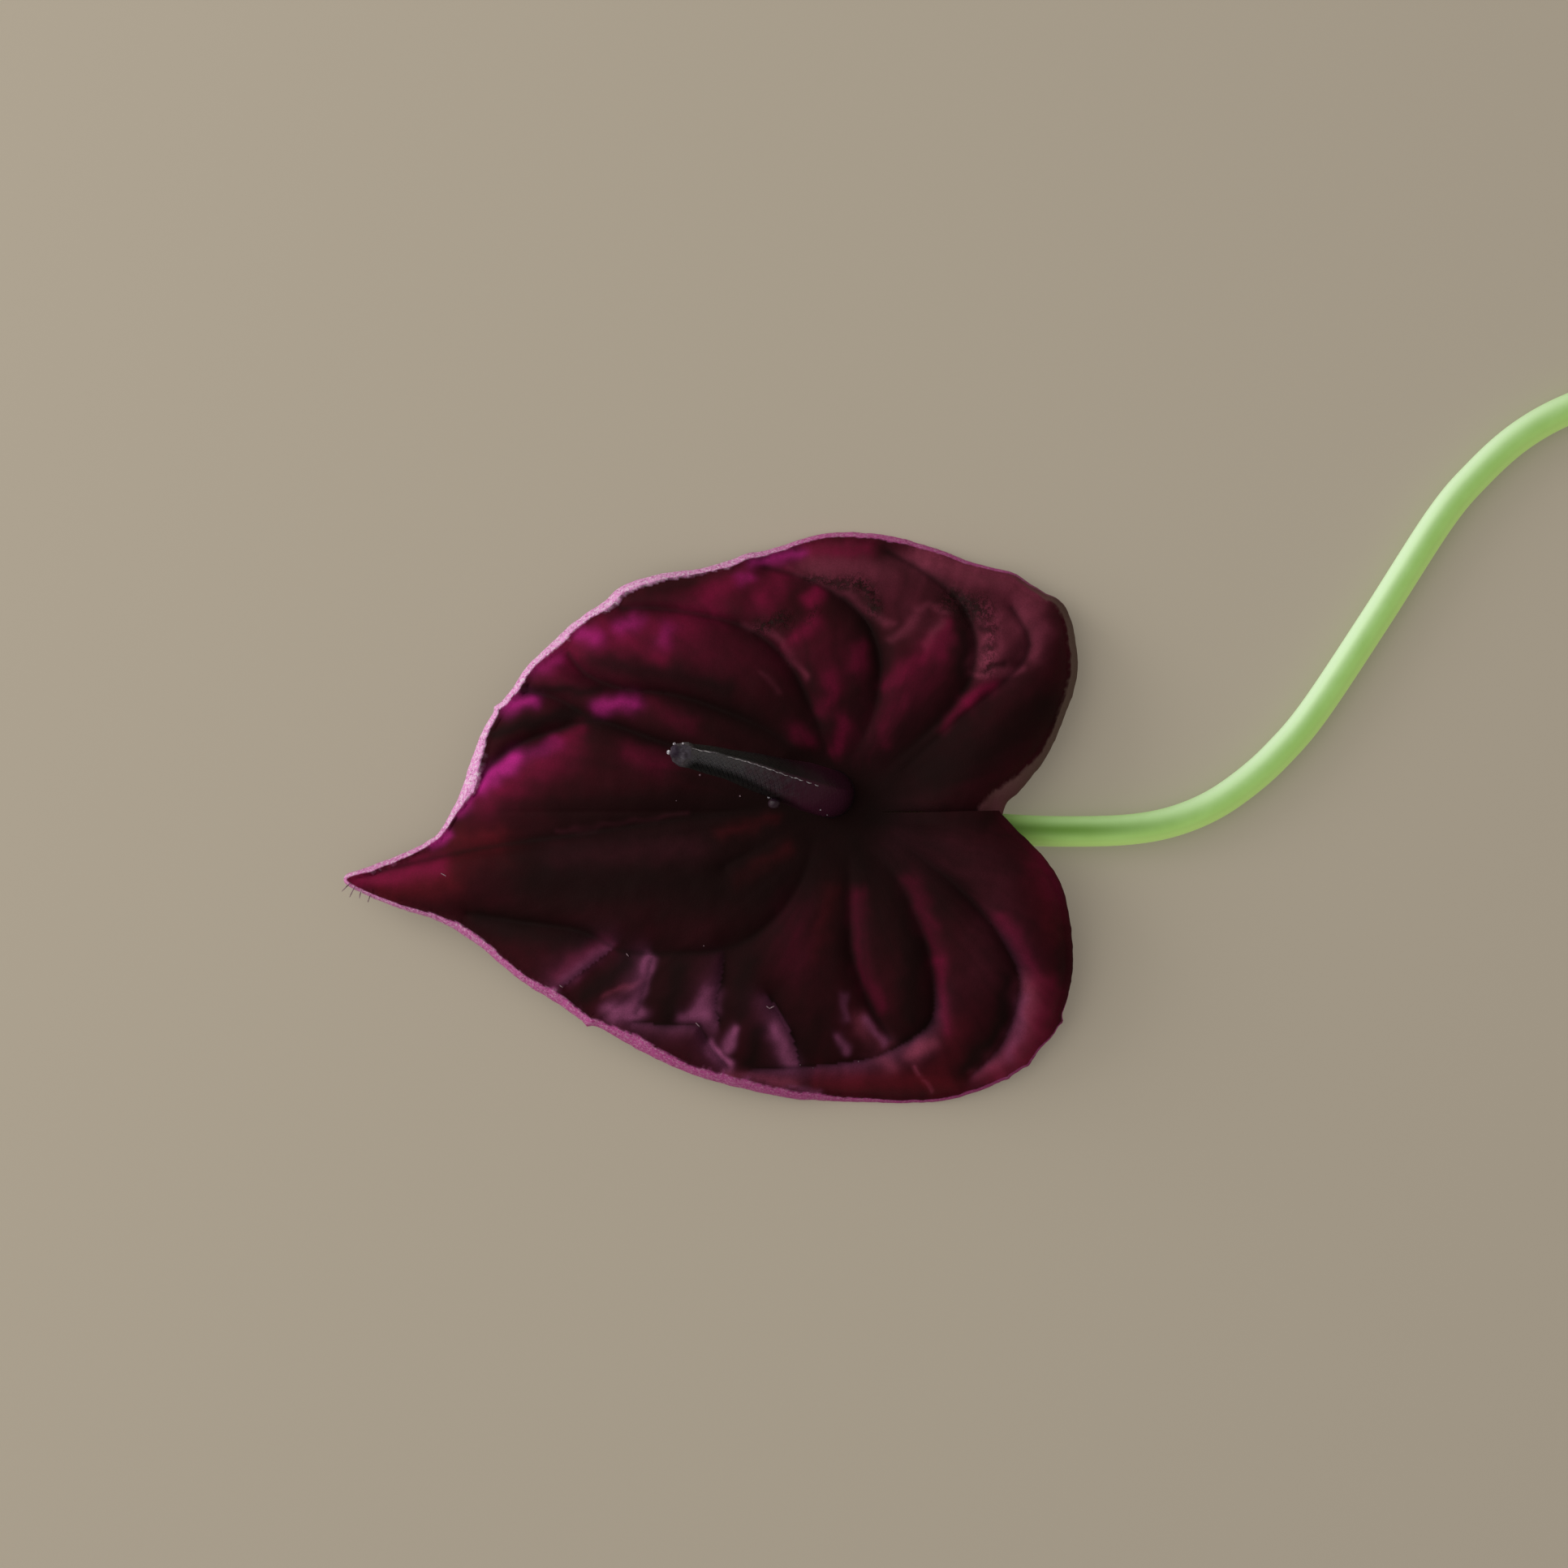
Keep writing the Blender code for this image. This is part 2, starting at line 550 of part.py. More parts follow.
def build_stem(collection, material, top_height):
    """The smooth round stem, a curve with filled ends, lying on the table past the lobes."""
    start = np.array([*STEM_TOP, top_height])
    straight = np.array([*STEM_TOP, top_height - STEM_STRAIGHT])
    points = np.vstack([start, smooth_route([tuple(straight)] + STEM_ROUTE, STEM_STEP)])
    curve = bpy.data.curves.new("stem", "CURVE")
    curve.dimensions = "3D"
    curve.bevel_depth = STEM_RADIUS * MM
    curve.bevel_resolution = STEM_BEVEL_RESOLUTION
    curve.use_fill_caps = True
    spline = curve.splines.new("POLY")
    spline.points.add(len(points) - 1)
    for target, point in zip(spline.points, points):
        target.co = (*(point * MM), 1.0)
    return add_object("stem", curve, collection, material)


def add_object(name, mesh, collection, material):
    """Link a mesh as a named object with its material."""
    thing = bpy.data.objects.new(name, mesh)
    thing.location = flower_location()
    mesh.materials.append(material)
    collection.objects.link(thing)
    return thing


def flower_location():
    """Where the flower's own middle stands in the scene, in metres."""
    return Vector((*FLOWER_PLACE, 0.0)) * MM


def make_material(name, colour, roughness):
    """A Principled material with the piece's own colour."""
    material = bpy.data.materials.new(name)
    material.use_nodes = True
    shader = material.node_tree.nodes["Principled BSDF"]
    shader.inputs["Base Color"].default_value = (*colour, 1.0)
    shader.inputs["Roughness"].default_value = roughness
    shader.inputs["Metallic"].default_value = 0.0
    return material


def main():
    """Build the three pieces in a collection named for the flower."""
    for thing in list(bpy.data.objects):
        bpy.data.objects.remove(thing, do_unlink=True)
    collection = bpy.data.collections.new("anthurium_flower")
    bpy.context.scene.collection.children.link(collection)
    burgundy = make_material("spathe_burgundy", SPATHE_COLOUR, SPATHE_ROUGHNESS)
    slate = make_material("spadix_slate", SPADIX_COLOUR, SPADIX_ROUGHNESS)
    green = make_material("stem_green", STEM_COLOUR, STEM_ROUGHNESS)
    seat = SPATHE_THICKNESS / 2 + SEAT_GAP
    build_spathe(collection, burgundy)
    build_spadix(collection, slate, CENTRE_HEIGHT + seat)
    build_stem(collection, green, CENTRE_HEIGHT - seat)


main()
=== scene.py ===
"""Looks of a cut anthurium flower lying face up on a table.

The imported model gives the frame: a spathe, a spadix and a stem. Each is replaced
here by a finer piece of the same form, with its own finish. Sizes are millimetres
from the middle of the spathe, where its veins meet, until a mesh is made.
"""

import logging
import math
from collections.abc import Iterable, Mapping, Sequence
from dataclasses import dataclass, field
from enum import Enum

import bpy
import numpy as np
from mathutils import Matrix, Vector, geometry, noise


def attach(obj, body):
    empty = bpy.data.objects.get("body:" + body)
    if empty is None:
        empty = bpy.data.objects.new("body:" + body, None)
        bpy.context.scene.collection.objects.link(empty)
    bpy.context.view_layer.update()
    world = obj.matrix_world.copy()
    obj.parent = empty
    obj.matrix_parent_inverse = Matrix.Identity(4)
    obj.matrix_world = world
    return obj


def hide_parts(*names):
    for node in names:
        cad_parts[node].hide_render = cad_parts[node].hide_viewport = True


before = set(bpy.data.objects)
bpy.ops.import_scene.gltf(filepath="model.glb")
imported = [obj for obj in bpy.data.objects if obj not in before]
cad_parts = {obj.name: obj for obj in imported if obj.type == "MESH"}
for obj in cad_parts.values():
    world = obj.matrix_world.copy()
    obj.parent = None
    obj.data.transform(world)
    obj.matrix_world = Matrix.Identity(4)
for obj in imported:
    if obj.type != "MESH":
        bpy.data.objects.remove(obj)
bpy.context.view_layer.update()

LOG = logging.getLogger("anthurium")
MM = 0.001
FLOWER_PLACE = (-37.55, -12.15)
BLUNT_END = 0.12
BEAD_LUMPS = ((0.18, 0.9, 2.0),)

Colour = tuple[float, float, float]
Point2 = tuple[float, float]
Point3 = tuple[float, float, float]
Table = tuple[Point2, ...]
# Layers of noise on a mesh: the height, the length of a bump and the seed of each
Layers = tuple[Point3, ...]
# In a finish these are what noise() takes after the places
Numbers = tuple[float, ...]


def smoothstep(value: np.ndarray | float, low: float, high: float) -> np.ndarray:
    """Rise smoothly from 0 to 1.

    Args:
        value: What is looked up.
        low: Where the rise starts.
        high: Where it ends.

    Returns:
        The share, from 0 to 1.
    """
    part = np.clip((np.asarray(value) - low) / (high - low), 0.0, 1.0)
    return part * part * (3.0 - 2.0 * part)


def hump(offset: np.ndarray, width: float) -> np.ndarray:
    """Give a smooth hump that is 1 in its middle and falls off over a width."""
    return np.exp(-((offset / width) ** 2))


def unit(vectors: np.ndarray) -> np.ndarray:
    """Bring vectors to a length of 1."""
    return vectors / np.maximum(np.linalg.norm(vectors, axis=1), 1e-6)[:, None]


def even_turns(count: int) -> np.ndarray:
    """Give the angles of even places round a circle."""
    return np.linspace(0.0, math.tau, count, endpoint=False)


def smooth_route(points: Sequence[Sequence[float]], step: float) -> np.ndarray:
    """Walk a Catmull-Rom curve in even steps.

    Args:
        points: The points that the curve goes through.
        step: The length of a step, about.

    Returns:
        The points along the curve, one a row.
    """
    knots = np.array(points, float)
    knots = np.vstack([2 * knots[0] - knots[1], knots, 2 * knots[-1] - knots[-2]])
    fine = []
    for before, start, end, after in zip(knots, knots[1:], knots[2:], knots[3:]):
        for part in np.arange(0.0, 1.0, 0.05):
            square, cube = part * part, part**3
            bend = 2 * start + (end - before) * part
            bend = bend + (2 * before - 5 * start + 4 * end - after) * square
            fine.append(0.5 * (bend + (3 * start - before - 3 * end + after) * cube))
    fine.append(knots[-2])
    line = np.array(fine)
    along = np.concatenate([[0.0], np.cumsum(np.linalg.norm(np.diff(line, axis=0), axis=1))])
    stations = np.linspace(0.0, along[-1], max(2, round(along[-1] / step) + 1))
    return np.column_stack([np.interp(stations, along, axis) for axis in line.T])


def nearest_on_route(points: np.ndarray, route: np.ndarray) -> tuple[np.ndarray, np.ndarray]:
    """Measure how far points are from a route.

    Args:
        points: The points, in plan.
        route: The route's own points.

    Returns:
        The distances, and the side of the route each point is on, from 1 for the left to
        -1 for the right, with a smooth change past the route's ends.
    """
    best = np.full(len(points), np.inf)
    side = np.ones(len(points))
    for start, end in zip(route, route[1:]):
        run = end - start
        offset = points - start
        part = np.clip(offset @ run / (run @ run), 0.0, 1.0)
        distance = np.linalg.norm(offset - part[:, None] * run, axis=1)
        nearer = distance < best
        best = np.where(nearer, distance, best)
        turned = (run[0] * offset[:, 1] - run[1] * offset[:, 0]) / math.hypot(*run)
        side = np.where(nearer, np.clip(turned / np.maximum(distance, 1e-6), -1.0, 1.0), side)
    return best, side


def beside_route(route: np.ndarray, distance: np.ndarray) -> np.ndarray:
    """Shift a route sideways.

    Args:
        route: The route's points, in plan.
        distance: How far to the left, for each point.

    Returns:
        The shifted points.
    """
    along = np.gradient(route, axis=0)
    left = unit(np.column_stack([-along[:, 1], along[:, 0]]))
    return route + left * np.reshape(distance, (-1, 1))


def by_angle(table: Table, angle: np.ndarray) -> np.ndarray:
    """Read a table of values by angle.

    Args:
        table: Pairs of degrees and values.
        angle: Angles in radians, from 0 to a full turn.

    Returns:
        The value at each angle.
    """
    angles, values = zip(*table)
    return np.interp(np.degrees(angle), angles, values)


def polar(points: np.ndarray) -> tuple[np.ndarray, np.ndarray]:
    """Give the distance of points from the spathe's middle, and their angle round it."""
    angle = np.mod(np.arctan2(points[:, 1], points[:, 0]), math.tau)
    return np.hypot(points[:, 0], points[:, 1]), angle


def grain(points: np.ndarray, size: float, seed: float = 0.0) -> np.ndarray:
    """Give smooth noise over points.

    Args:
        points: The points, with two or three columns.
        size: The length of one bump.
        seed: Which noise to take.

    Returns:
        Values from about -1 to 1.
    """
    deep = points if points.shape[1] == 3 else np.column_stack([points, np.zeros(len(points))])
    moved = deep / size + (seed * 7.31, seed * 3.17, seed * 5.23)
    return np.array([noise.noise(Vector(place)) for place in moved])


def layered(points: np.ndarray, layers: Iterable[Point3]) -> np.ndarray:
    """Add up layers of smooth noise.

    Args:
        points: The points, with two or three columns.
        layers: The height, the bump's length and the seed of each layer.

    Returns:
        The sum at each point.
    """
    return sum(height * grain(points, size, seed) for height, size, seed in layers)


class Value:
    """A shader socket that Python's own operators can reckon with."""

    def __init__(self, finish: "NodeFinish", socket: bpy.types.NodeSocket) -> None:
        """Keep the socket and the finish whose nodes it belongs to."""
        self.finish = finish
        self.socket = socket

    def reckon(self, operation: str, *terms: "Value | float") -> "Value":
        """Add a Math node.

        Args:
            operation: What the node does.
            terms: Its inputs, in order.

        Returns:
            The node's result.
        """
        return self.finish.add("ShaderNodeMath", {"operation": operation}, dict(enumerate(terms)))

    def __add__(self, other: "Value | float") -> "Value":
        """Add a number or another value."""
        return self.reckon("ADD", self, other)

    def __radd__(self, other: float) -> "Value":
        """Add to a number."""
        return self.reckon("ADD", other, self)

    def __sub__(self, other: "Value | float") -> "Value":
        """Subtract a number or another value."""
        return self.reckon("SUBTRACT", self, other)

    def __rsub__(self, other: float) -> "Value":
        """Subtract from a number."""
        return self.reckon("SUBTRACT", other, self)

    def __mul__(self, other: "Value | float") -> "Value":
        """Multiply by a number or another value."""
        return self.reckon("MULTIPLY", self, other)

    def held(self) -> "Value":
        """Keep the value from 0 to 1."""
        return self.reckon("MINIMUM", self.reckon("MAXIMUM", self, 0.0), 1.0)

    def rise(self, low: float, high: float) -> "Value":
        """Rise smoothly from 0 at low to 1 at high."""
        settings = {"interpolation_type": "SMOOTHSTEP"}
        return self.finish.add("ShaderNodeMapRange", settings, {0: self, 1: low, 2: high})


class NodeFinish:
    """A material under construction, with one way to add each node."""

    def __init__(self, name: str) -> None:
        """Start the material with its Principled shader alone.

        Args:
            name: Its name.
        """
        self.material = bpy.data.materials.new(name)
        self.material.use_nodes = True
        self.tree = self.material.node_tree
        self.shader = self.tree.nodes["Principled BSDF"]

    def add(
        self,
        kind: str,
        settings: Mapping[str, object] | None = None,
        sockets: Mapping[int | str, object] | None = None,
        output: int | str = 0,
    ) -> Value:
        """Add a node, set it, and then fill its sockets.

        Args:
            kind: The node's type.
            settings: Its properties, set first.
            sockets: A number, tuple or value for each socket that isn't left as it is.
            output: Which result is wanted.

        Returns:
            That result.
        """
        node = self.tree.nodes.new(kind)
        for name, setting in (settings or {}).items():
            setattr(node, name, setting)
        for name, given in (sockets or {}).items():
            self.fill(node.inputs[name], given)
        return Value(self, node.outputs[output])

    def fill(self, socket: bpy.types.NodeSocket, given: object) -> None:
        """Link a value to a socket, or set the socket to a number or a colour.

        Args:
            socket: The socket.
            given: What goes into it.
        """
        if isinstance(given, Value):
            self.tree.links.new(given.socket, socket)
        elif isinstance(given, tuple) and socket.type == "RGBA":
            socket.default_value = (*given, 1.0)
        else:
            socket.default_value = given

    def places(self) -> Value:
        """Give the place on the piece in millimetres."""
        sockets = {0: self.add("ShaderNodeTexCoord", output="Object"), "Scale": 1.0 / MM}
        return self.add("ShaderNodeVectorMath", {"operation": "SCALE"}, sockets)

    def noise(self, places: Value, size: float, detail: float = 2.0, rough: float = 0.5) -> Value:
        """Add a noise texture.

        Args:
            places: Where it is read, in millimetres.
            size: The length of one bump, in millimetres.
            detail: How many finer layers it has.
            rough: How strong those are.

        Returns:
            Its value, from 0 to 1.
        """
        sockets = {"Vector": places, "Scale": 1.0 / size, "Detail": detail, "Roughness": rough}
        return self.add("ShaderNodeTexNoise", {}, sockets, "Fac")

    def mark(self, name: str) -> Value:
        """Read one of the marks that the mesh carries."""
        return self.add("ShaderNodeAttribute", {"attribute_name": name}, output="Fac")

    def mix(self, below: Value | Colour, above: Value | Colour, share: Value | float) -> Value:
        """Lay one colour over another.

        Args:
            below: The colour where share is 0.
            above: The colour where share is 1.
            share: How much of the second shows.

        Returns:
            The mixed colour.
        """
        return self.add("ShaderNodeMix", {"data_type": "RGBA"}, {0: share, 6: below, 7: above}, 2)

    def bump(self, height: Value, depth: float) -> Value:
        """Turn heights from 0 to 1 into a normal, with a depth in millimetres."""
        return self.add("ShaderNodeBump", {}, {"Strength": 1.0, "Distance": depth * MM, "Height": height})

    def dress(self, **given: object) -> bpy.types.Material:
        """Fill the shader's sockets.

        Args:
            given: Values by socket name, with underscores for spaces.

        Returns:
            The finished material.
        """
        for name, value in given.items():
            self.fill(self.shader.inputs[name.replace("_", " ")], value)
        return self.material


class Tone(Enum):
    """The colours of the spathe's face, each with the name of its mark on the mesh; the vivid pink is
    partly painted highlight, the pale violet painted sheen and the darkest, on the face, painted shade.
    """

    MAUVE = "mauve"
    RED = "red"
    CRIMSON = "crimson"
    MAGENTA = "magenta"
    LILAC = "lilac"
    NIGHT = "night"


@dataclass(frozen=True)
class Streak:
    """A soft streak of one tone along a line on the spathe, raised or sunken by its rise."""

    tone: Tone
    half_width: float
    strength: float
    line: Table
    rise: float = 0.0

    def share(self, points: np.ndarray) -> np.ndarray:
        """Give how much of the streak is at each point."""
        distance = nearest_on_route(points, np.array(self.line, float))[0]
        return self.strength * np.exp(-0.9 * (distance / self.half_width) ** 2)


def streaks_of(tone: Tone, *rows: tuple) -> tuple[Streak, ...]:
    """Make streaks of one tone from rows of half-width, strength, line and, if any, rise."""
    return tuple(Streak(tone, *row) for row in rows)


@dataclass(frozen=True)
class Vein:
    """A sunken vein: its depth, its hollow's reach to each side, its route and the side of it that takes
    painted sheen.
    """

    depth: float
    left: float
    right: float
    route: Table
    sheen: float = 0.0


@dataclass(frozen=True)
class SpatheTables:
    """The tables that shape and colour the spathe, with its outline and heights as in the solid."""

    outline: Table = (
        (22.8, 1.0), (23.5, 3.1), (25.5, 4.6), (27.7, 6.7), (29.7, 8.9), (31.4, 11.7),
        (32.8, 15.0), (34.2, 18.7), (34.8, 22.7), (34.4, 27.1), (33.6, 30.3), (32.2, 32.6),
        (30.3, 33.6), (27.5, 35.3), (25.0, 37.0), (21.4, 37.9), (17.7, 39.0), (15.1, 40.1),
        (12.0, 41.2), (8.0, 42.4), (3.3, 43.2), (-1.7, 43.4), (-5.8, 42.9), (-9.8, 41.6),
        (-13.8, 40.4), (-16.3, 40.0), (-19.2, 38.8), (-23.3, 37.6), (-27.2, 37.1),
        (-30.1, 36.6), (-33.6, 35.6), (-36.3, 34.3), (-38.4, 32.3), (-42.7, 29.3),
        (-46.7, 25.6), (-50.1, 22.2), (-52.8, 18.4), (-55.1, 15.4), (-57.1, 12.0),
        (-59.0, 7.0), (-60.3, 3.0), (-61.8, 0.0), (-62.9, -2.0), (-64.6, -4.0), (-68.2, -6.0),
        (-74.1, -8.3), (-77.8, -9.6), (-78.5, -10.5), (-77.7, -11.5), (-74.9, -12.9),
        (-69.5, -15.0), (-65.1, -16.4), (-61.7, -17.9), (-57.4, -20.8), (-53.4, -24.2),
        (-50.1, -26.7), (-45.1, -29.8), (-41.6, -32.3), (-38.1, -33.7), (-35.1, -35.6),
        (-30.1, -38.3), (-25.1, -40.5), (-20.1, -42.1), (-15.0, -43.4), (-10.0, -44.5),
        (-5.0, -45.0), (5.2, -45.3), (10.2, -45.3), (15.2, -44.8), (20.3, -43.2),
        (24.3, -41.2), (27.3, -39.1), (29.3, -36.6), (31.2, -34.5), (32.4, -31.6),
        (33.5, -27.6), (34.0, -23.2), (33.7, -18.5), (33.1, -15.0), (32.0, -11.2),
        (29.9, -7.8), (27.5, -5.3), (25.5, -3.4), (23.6, -1.4), (22.8, -0.6),
    )
    margin_heights: Table = (
        (0, 7.8), (12, 7.2), (30, 5.0), (52, 2.8), (78, -0.5), (92, -0.5), (110, 1.4),
        (130, 4.2), (155, 6.2), (175, 6.0), (188, 4.2), (200, 5.6), (222, 5.4), (245, 3.2),
        (268, -0.5), (284, -0.5), (312, 3.0), (335, 6.8), (350, 8.6), (360, 9.0),
    )
    lip_widths: Table = (
        (0, 1.2), (12, 1.9), (18, 1.4), (25, 1.2), (34, 1.5), (45, 1.2), (55, 1.0), (90, 1.2),
        (110, 1.0), (116, 1.3), (122, 0.9), (132, 1.2), (150, 1.5), (160, 1.2), (172, 1.7),
        (177, 1.8), (183, 0.8), (188, 0.7), (192, 0.9), (197, 1.5), (213, 1.7), (221, 1.5),
        (227, 2.4), (240, 1.8), (262, 1.7), (268, 1.1), (280, 0.7), (360, 0.7),
    )
    veins: tuple[Vein, ...] = (
        Vein(0.8, 2.5, 2.5, (
            (-5, 0.2), (-14.6, 0.4), (-27.6, -1.3), (-43, -3.6), (-58.3, -5.9), (-74, -9.4))),
        Vein(1.0, 2.2, 1.6, (
            (-4.5, 2.4), (-27.6, 10.1), (-37.6, 13.6), (-41.1, 13.8), (-45.3, 12.5),
            (-50.6, 10.6), (-55.3, 7.5), (-58.2, 3.6))),
        Vein(0.9, 2.0, 1.6, ((-40.4, 14.4), (-45.3, 17.3), (-50.4, 18.6))),
        Vein(1.0, 2.4, 1.6, (
            (-4.8, 6.8), (-12.4, 12.1), (-20, 15.5), (-27.6, 17.9), (-35.4, 18.8),
            (-40.8, 21.0), (-43.6, 24.2))),
        Vein(1.0, 2.4, 1.6, (
            (-3.4, 7.5), (-4.8, 12.1), (-7, 17.5), (-9.3, 22), (-12.4, 25.5), (-16.3, 28.1),
            (-23.1, 30.1), (-30.8, 31.2), (-35.4, 31.2))),
        Vein(1.0, 2.4, 1.6, (
            (-0.1, 8.3), (2.9, 14.4), (4.1, 20.5), (3.8, 25.1), (1.4, 30.1), (-3.3, 33.9),
            (-8.5, 36.4), (-13.2, 37.6))),
        Vein(1.0, 2.4, 1.6, (
            (5.3, 6.8), (11.4, 12.1), (15.1, 15.9), (18.3, 21.3), (18.6, 27.4), (16, 32.8),
            (10.6, 37.2), (5.6, 40.2))),
        Vein(0.8, 2.2, 1.8, (
            (8, 6.6), (12.5, 11.0), (21.3, 18.3), (25.9, 22.8), (27, 26.6), (24.4, 31.3))),
        Vein(0.9, 2.2, 1.6, (
            (-5.6, -3.4), (-8.2, -11.2), (-13.4, -17.6), (-19.6, -20.9), (-27.5, -21.6),
            (-35, -21.4), (-38.6, -19.6), (-43, -17.9), (-51.3, -16.8), (-59, -15.6))),
        Vein(0.6, 1.6, 1.6, ((-6.5, -1.2), (-12.5, -4.4), (-19.5, -8.3))),
        Vein(1.0, 5.0, 0.7, ((-37, -21.2), (-41.3, -24.4), (-44.2, -26.6)), -1.0),
        Vein(1.0, 5.0, 0.7, ((-30.8, -22.4), (-31.5, -25.4), (-33.2, -31.0)), -1.0),
        Vein(1.0, 5.0, 0.7, (
            (-19.6, -21.6), (-20, -25.4), (-21.1, -28.9), (-20.6, -31.9)), -1.0),
        Vein(0.9, 4.0, 0.8, (
            (-33.4, -32.3), (-28, -32.8), (-23.6, -32.8), (-22, -36), (-19.2, -39.4)), -0.35),
        Vein(0.9, 4.0, 0.8, ((-12.6, -28.5), (-9.4, -34), (-8.2, -38.6)), -1.0),
        Vein(0.9, 1.8, 1.8, (
            (-0.6, -6.5), (-0.4, -14), (-0.4, -20.5), (0.8, -25), (3, -30.4), (5.8, -34.8))),
        Vein(1.0, 1.6, 2.2, (
            (2.4, -5.4), (6.9, -10.5), (9.9, -16.6), (11.5, -21.3), (12.3, -26.3),
            (12.2, -31.9), (9.1, -34.8), (5.4, -36.9), (1.1, -38.4), (-8.5, -39.4),
            (-15.5, -39.8)), 0.4),
        Vein(1.0, 1.6, 2.4, (
            (6.3, -3.8), (14.5, -10.1), (19.4, -15), (23.1, -20), (25.4, -25),
            (25.3, -29.3), (24.1, -33.5), (22, -37.3), (18.6, -40.6)), 0.25),
    )
    bruises: tuple[Streak, ...] = streaks_of(
        Tone.NIGHT,
        (1.2, 1.0, ((-14, 28), (-10.5, 29.4))), (0.9, 0.8, ((-7, 35.9), (-2, 35.1))),
        (1.2, 1.0, ((0, 35.2), (3, 33.5), (3.2, 31))), (2.0, 1.0, ((15.5, 32.5), (19.5, 30.8))),
        (1.2, 0.6, ((20.6, 21.8), (21.5, 28))), (0.8, 0.5, ((-6.8, 29.2), (-5.4, 31))),
    )
    burrs: Table = (
        (32.1, -32.3), (27.0, -38.8), (23.9, -40.9), (-40.7, -32.8), (-54.8, 16.0),
    )
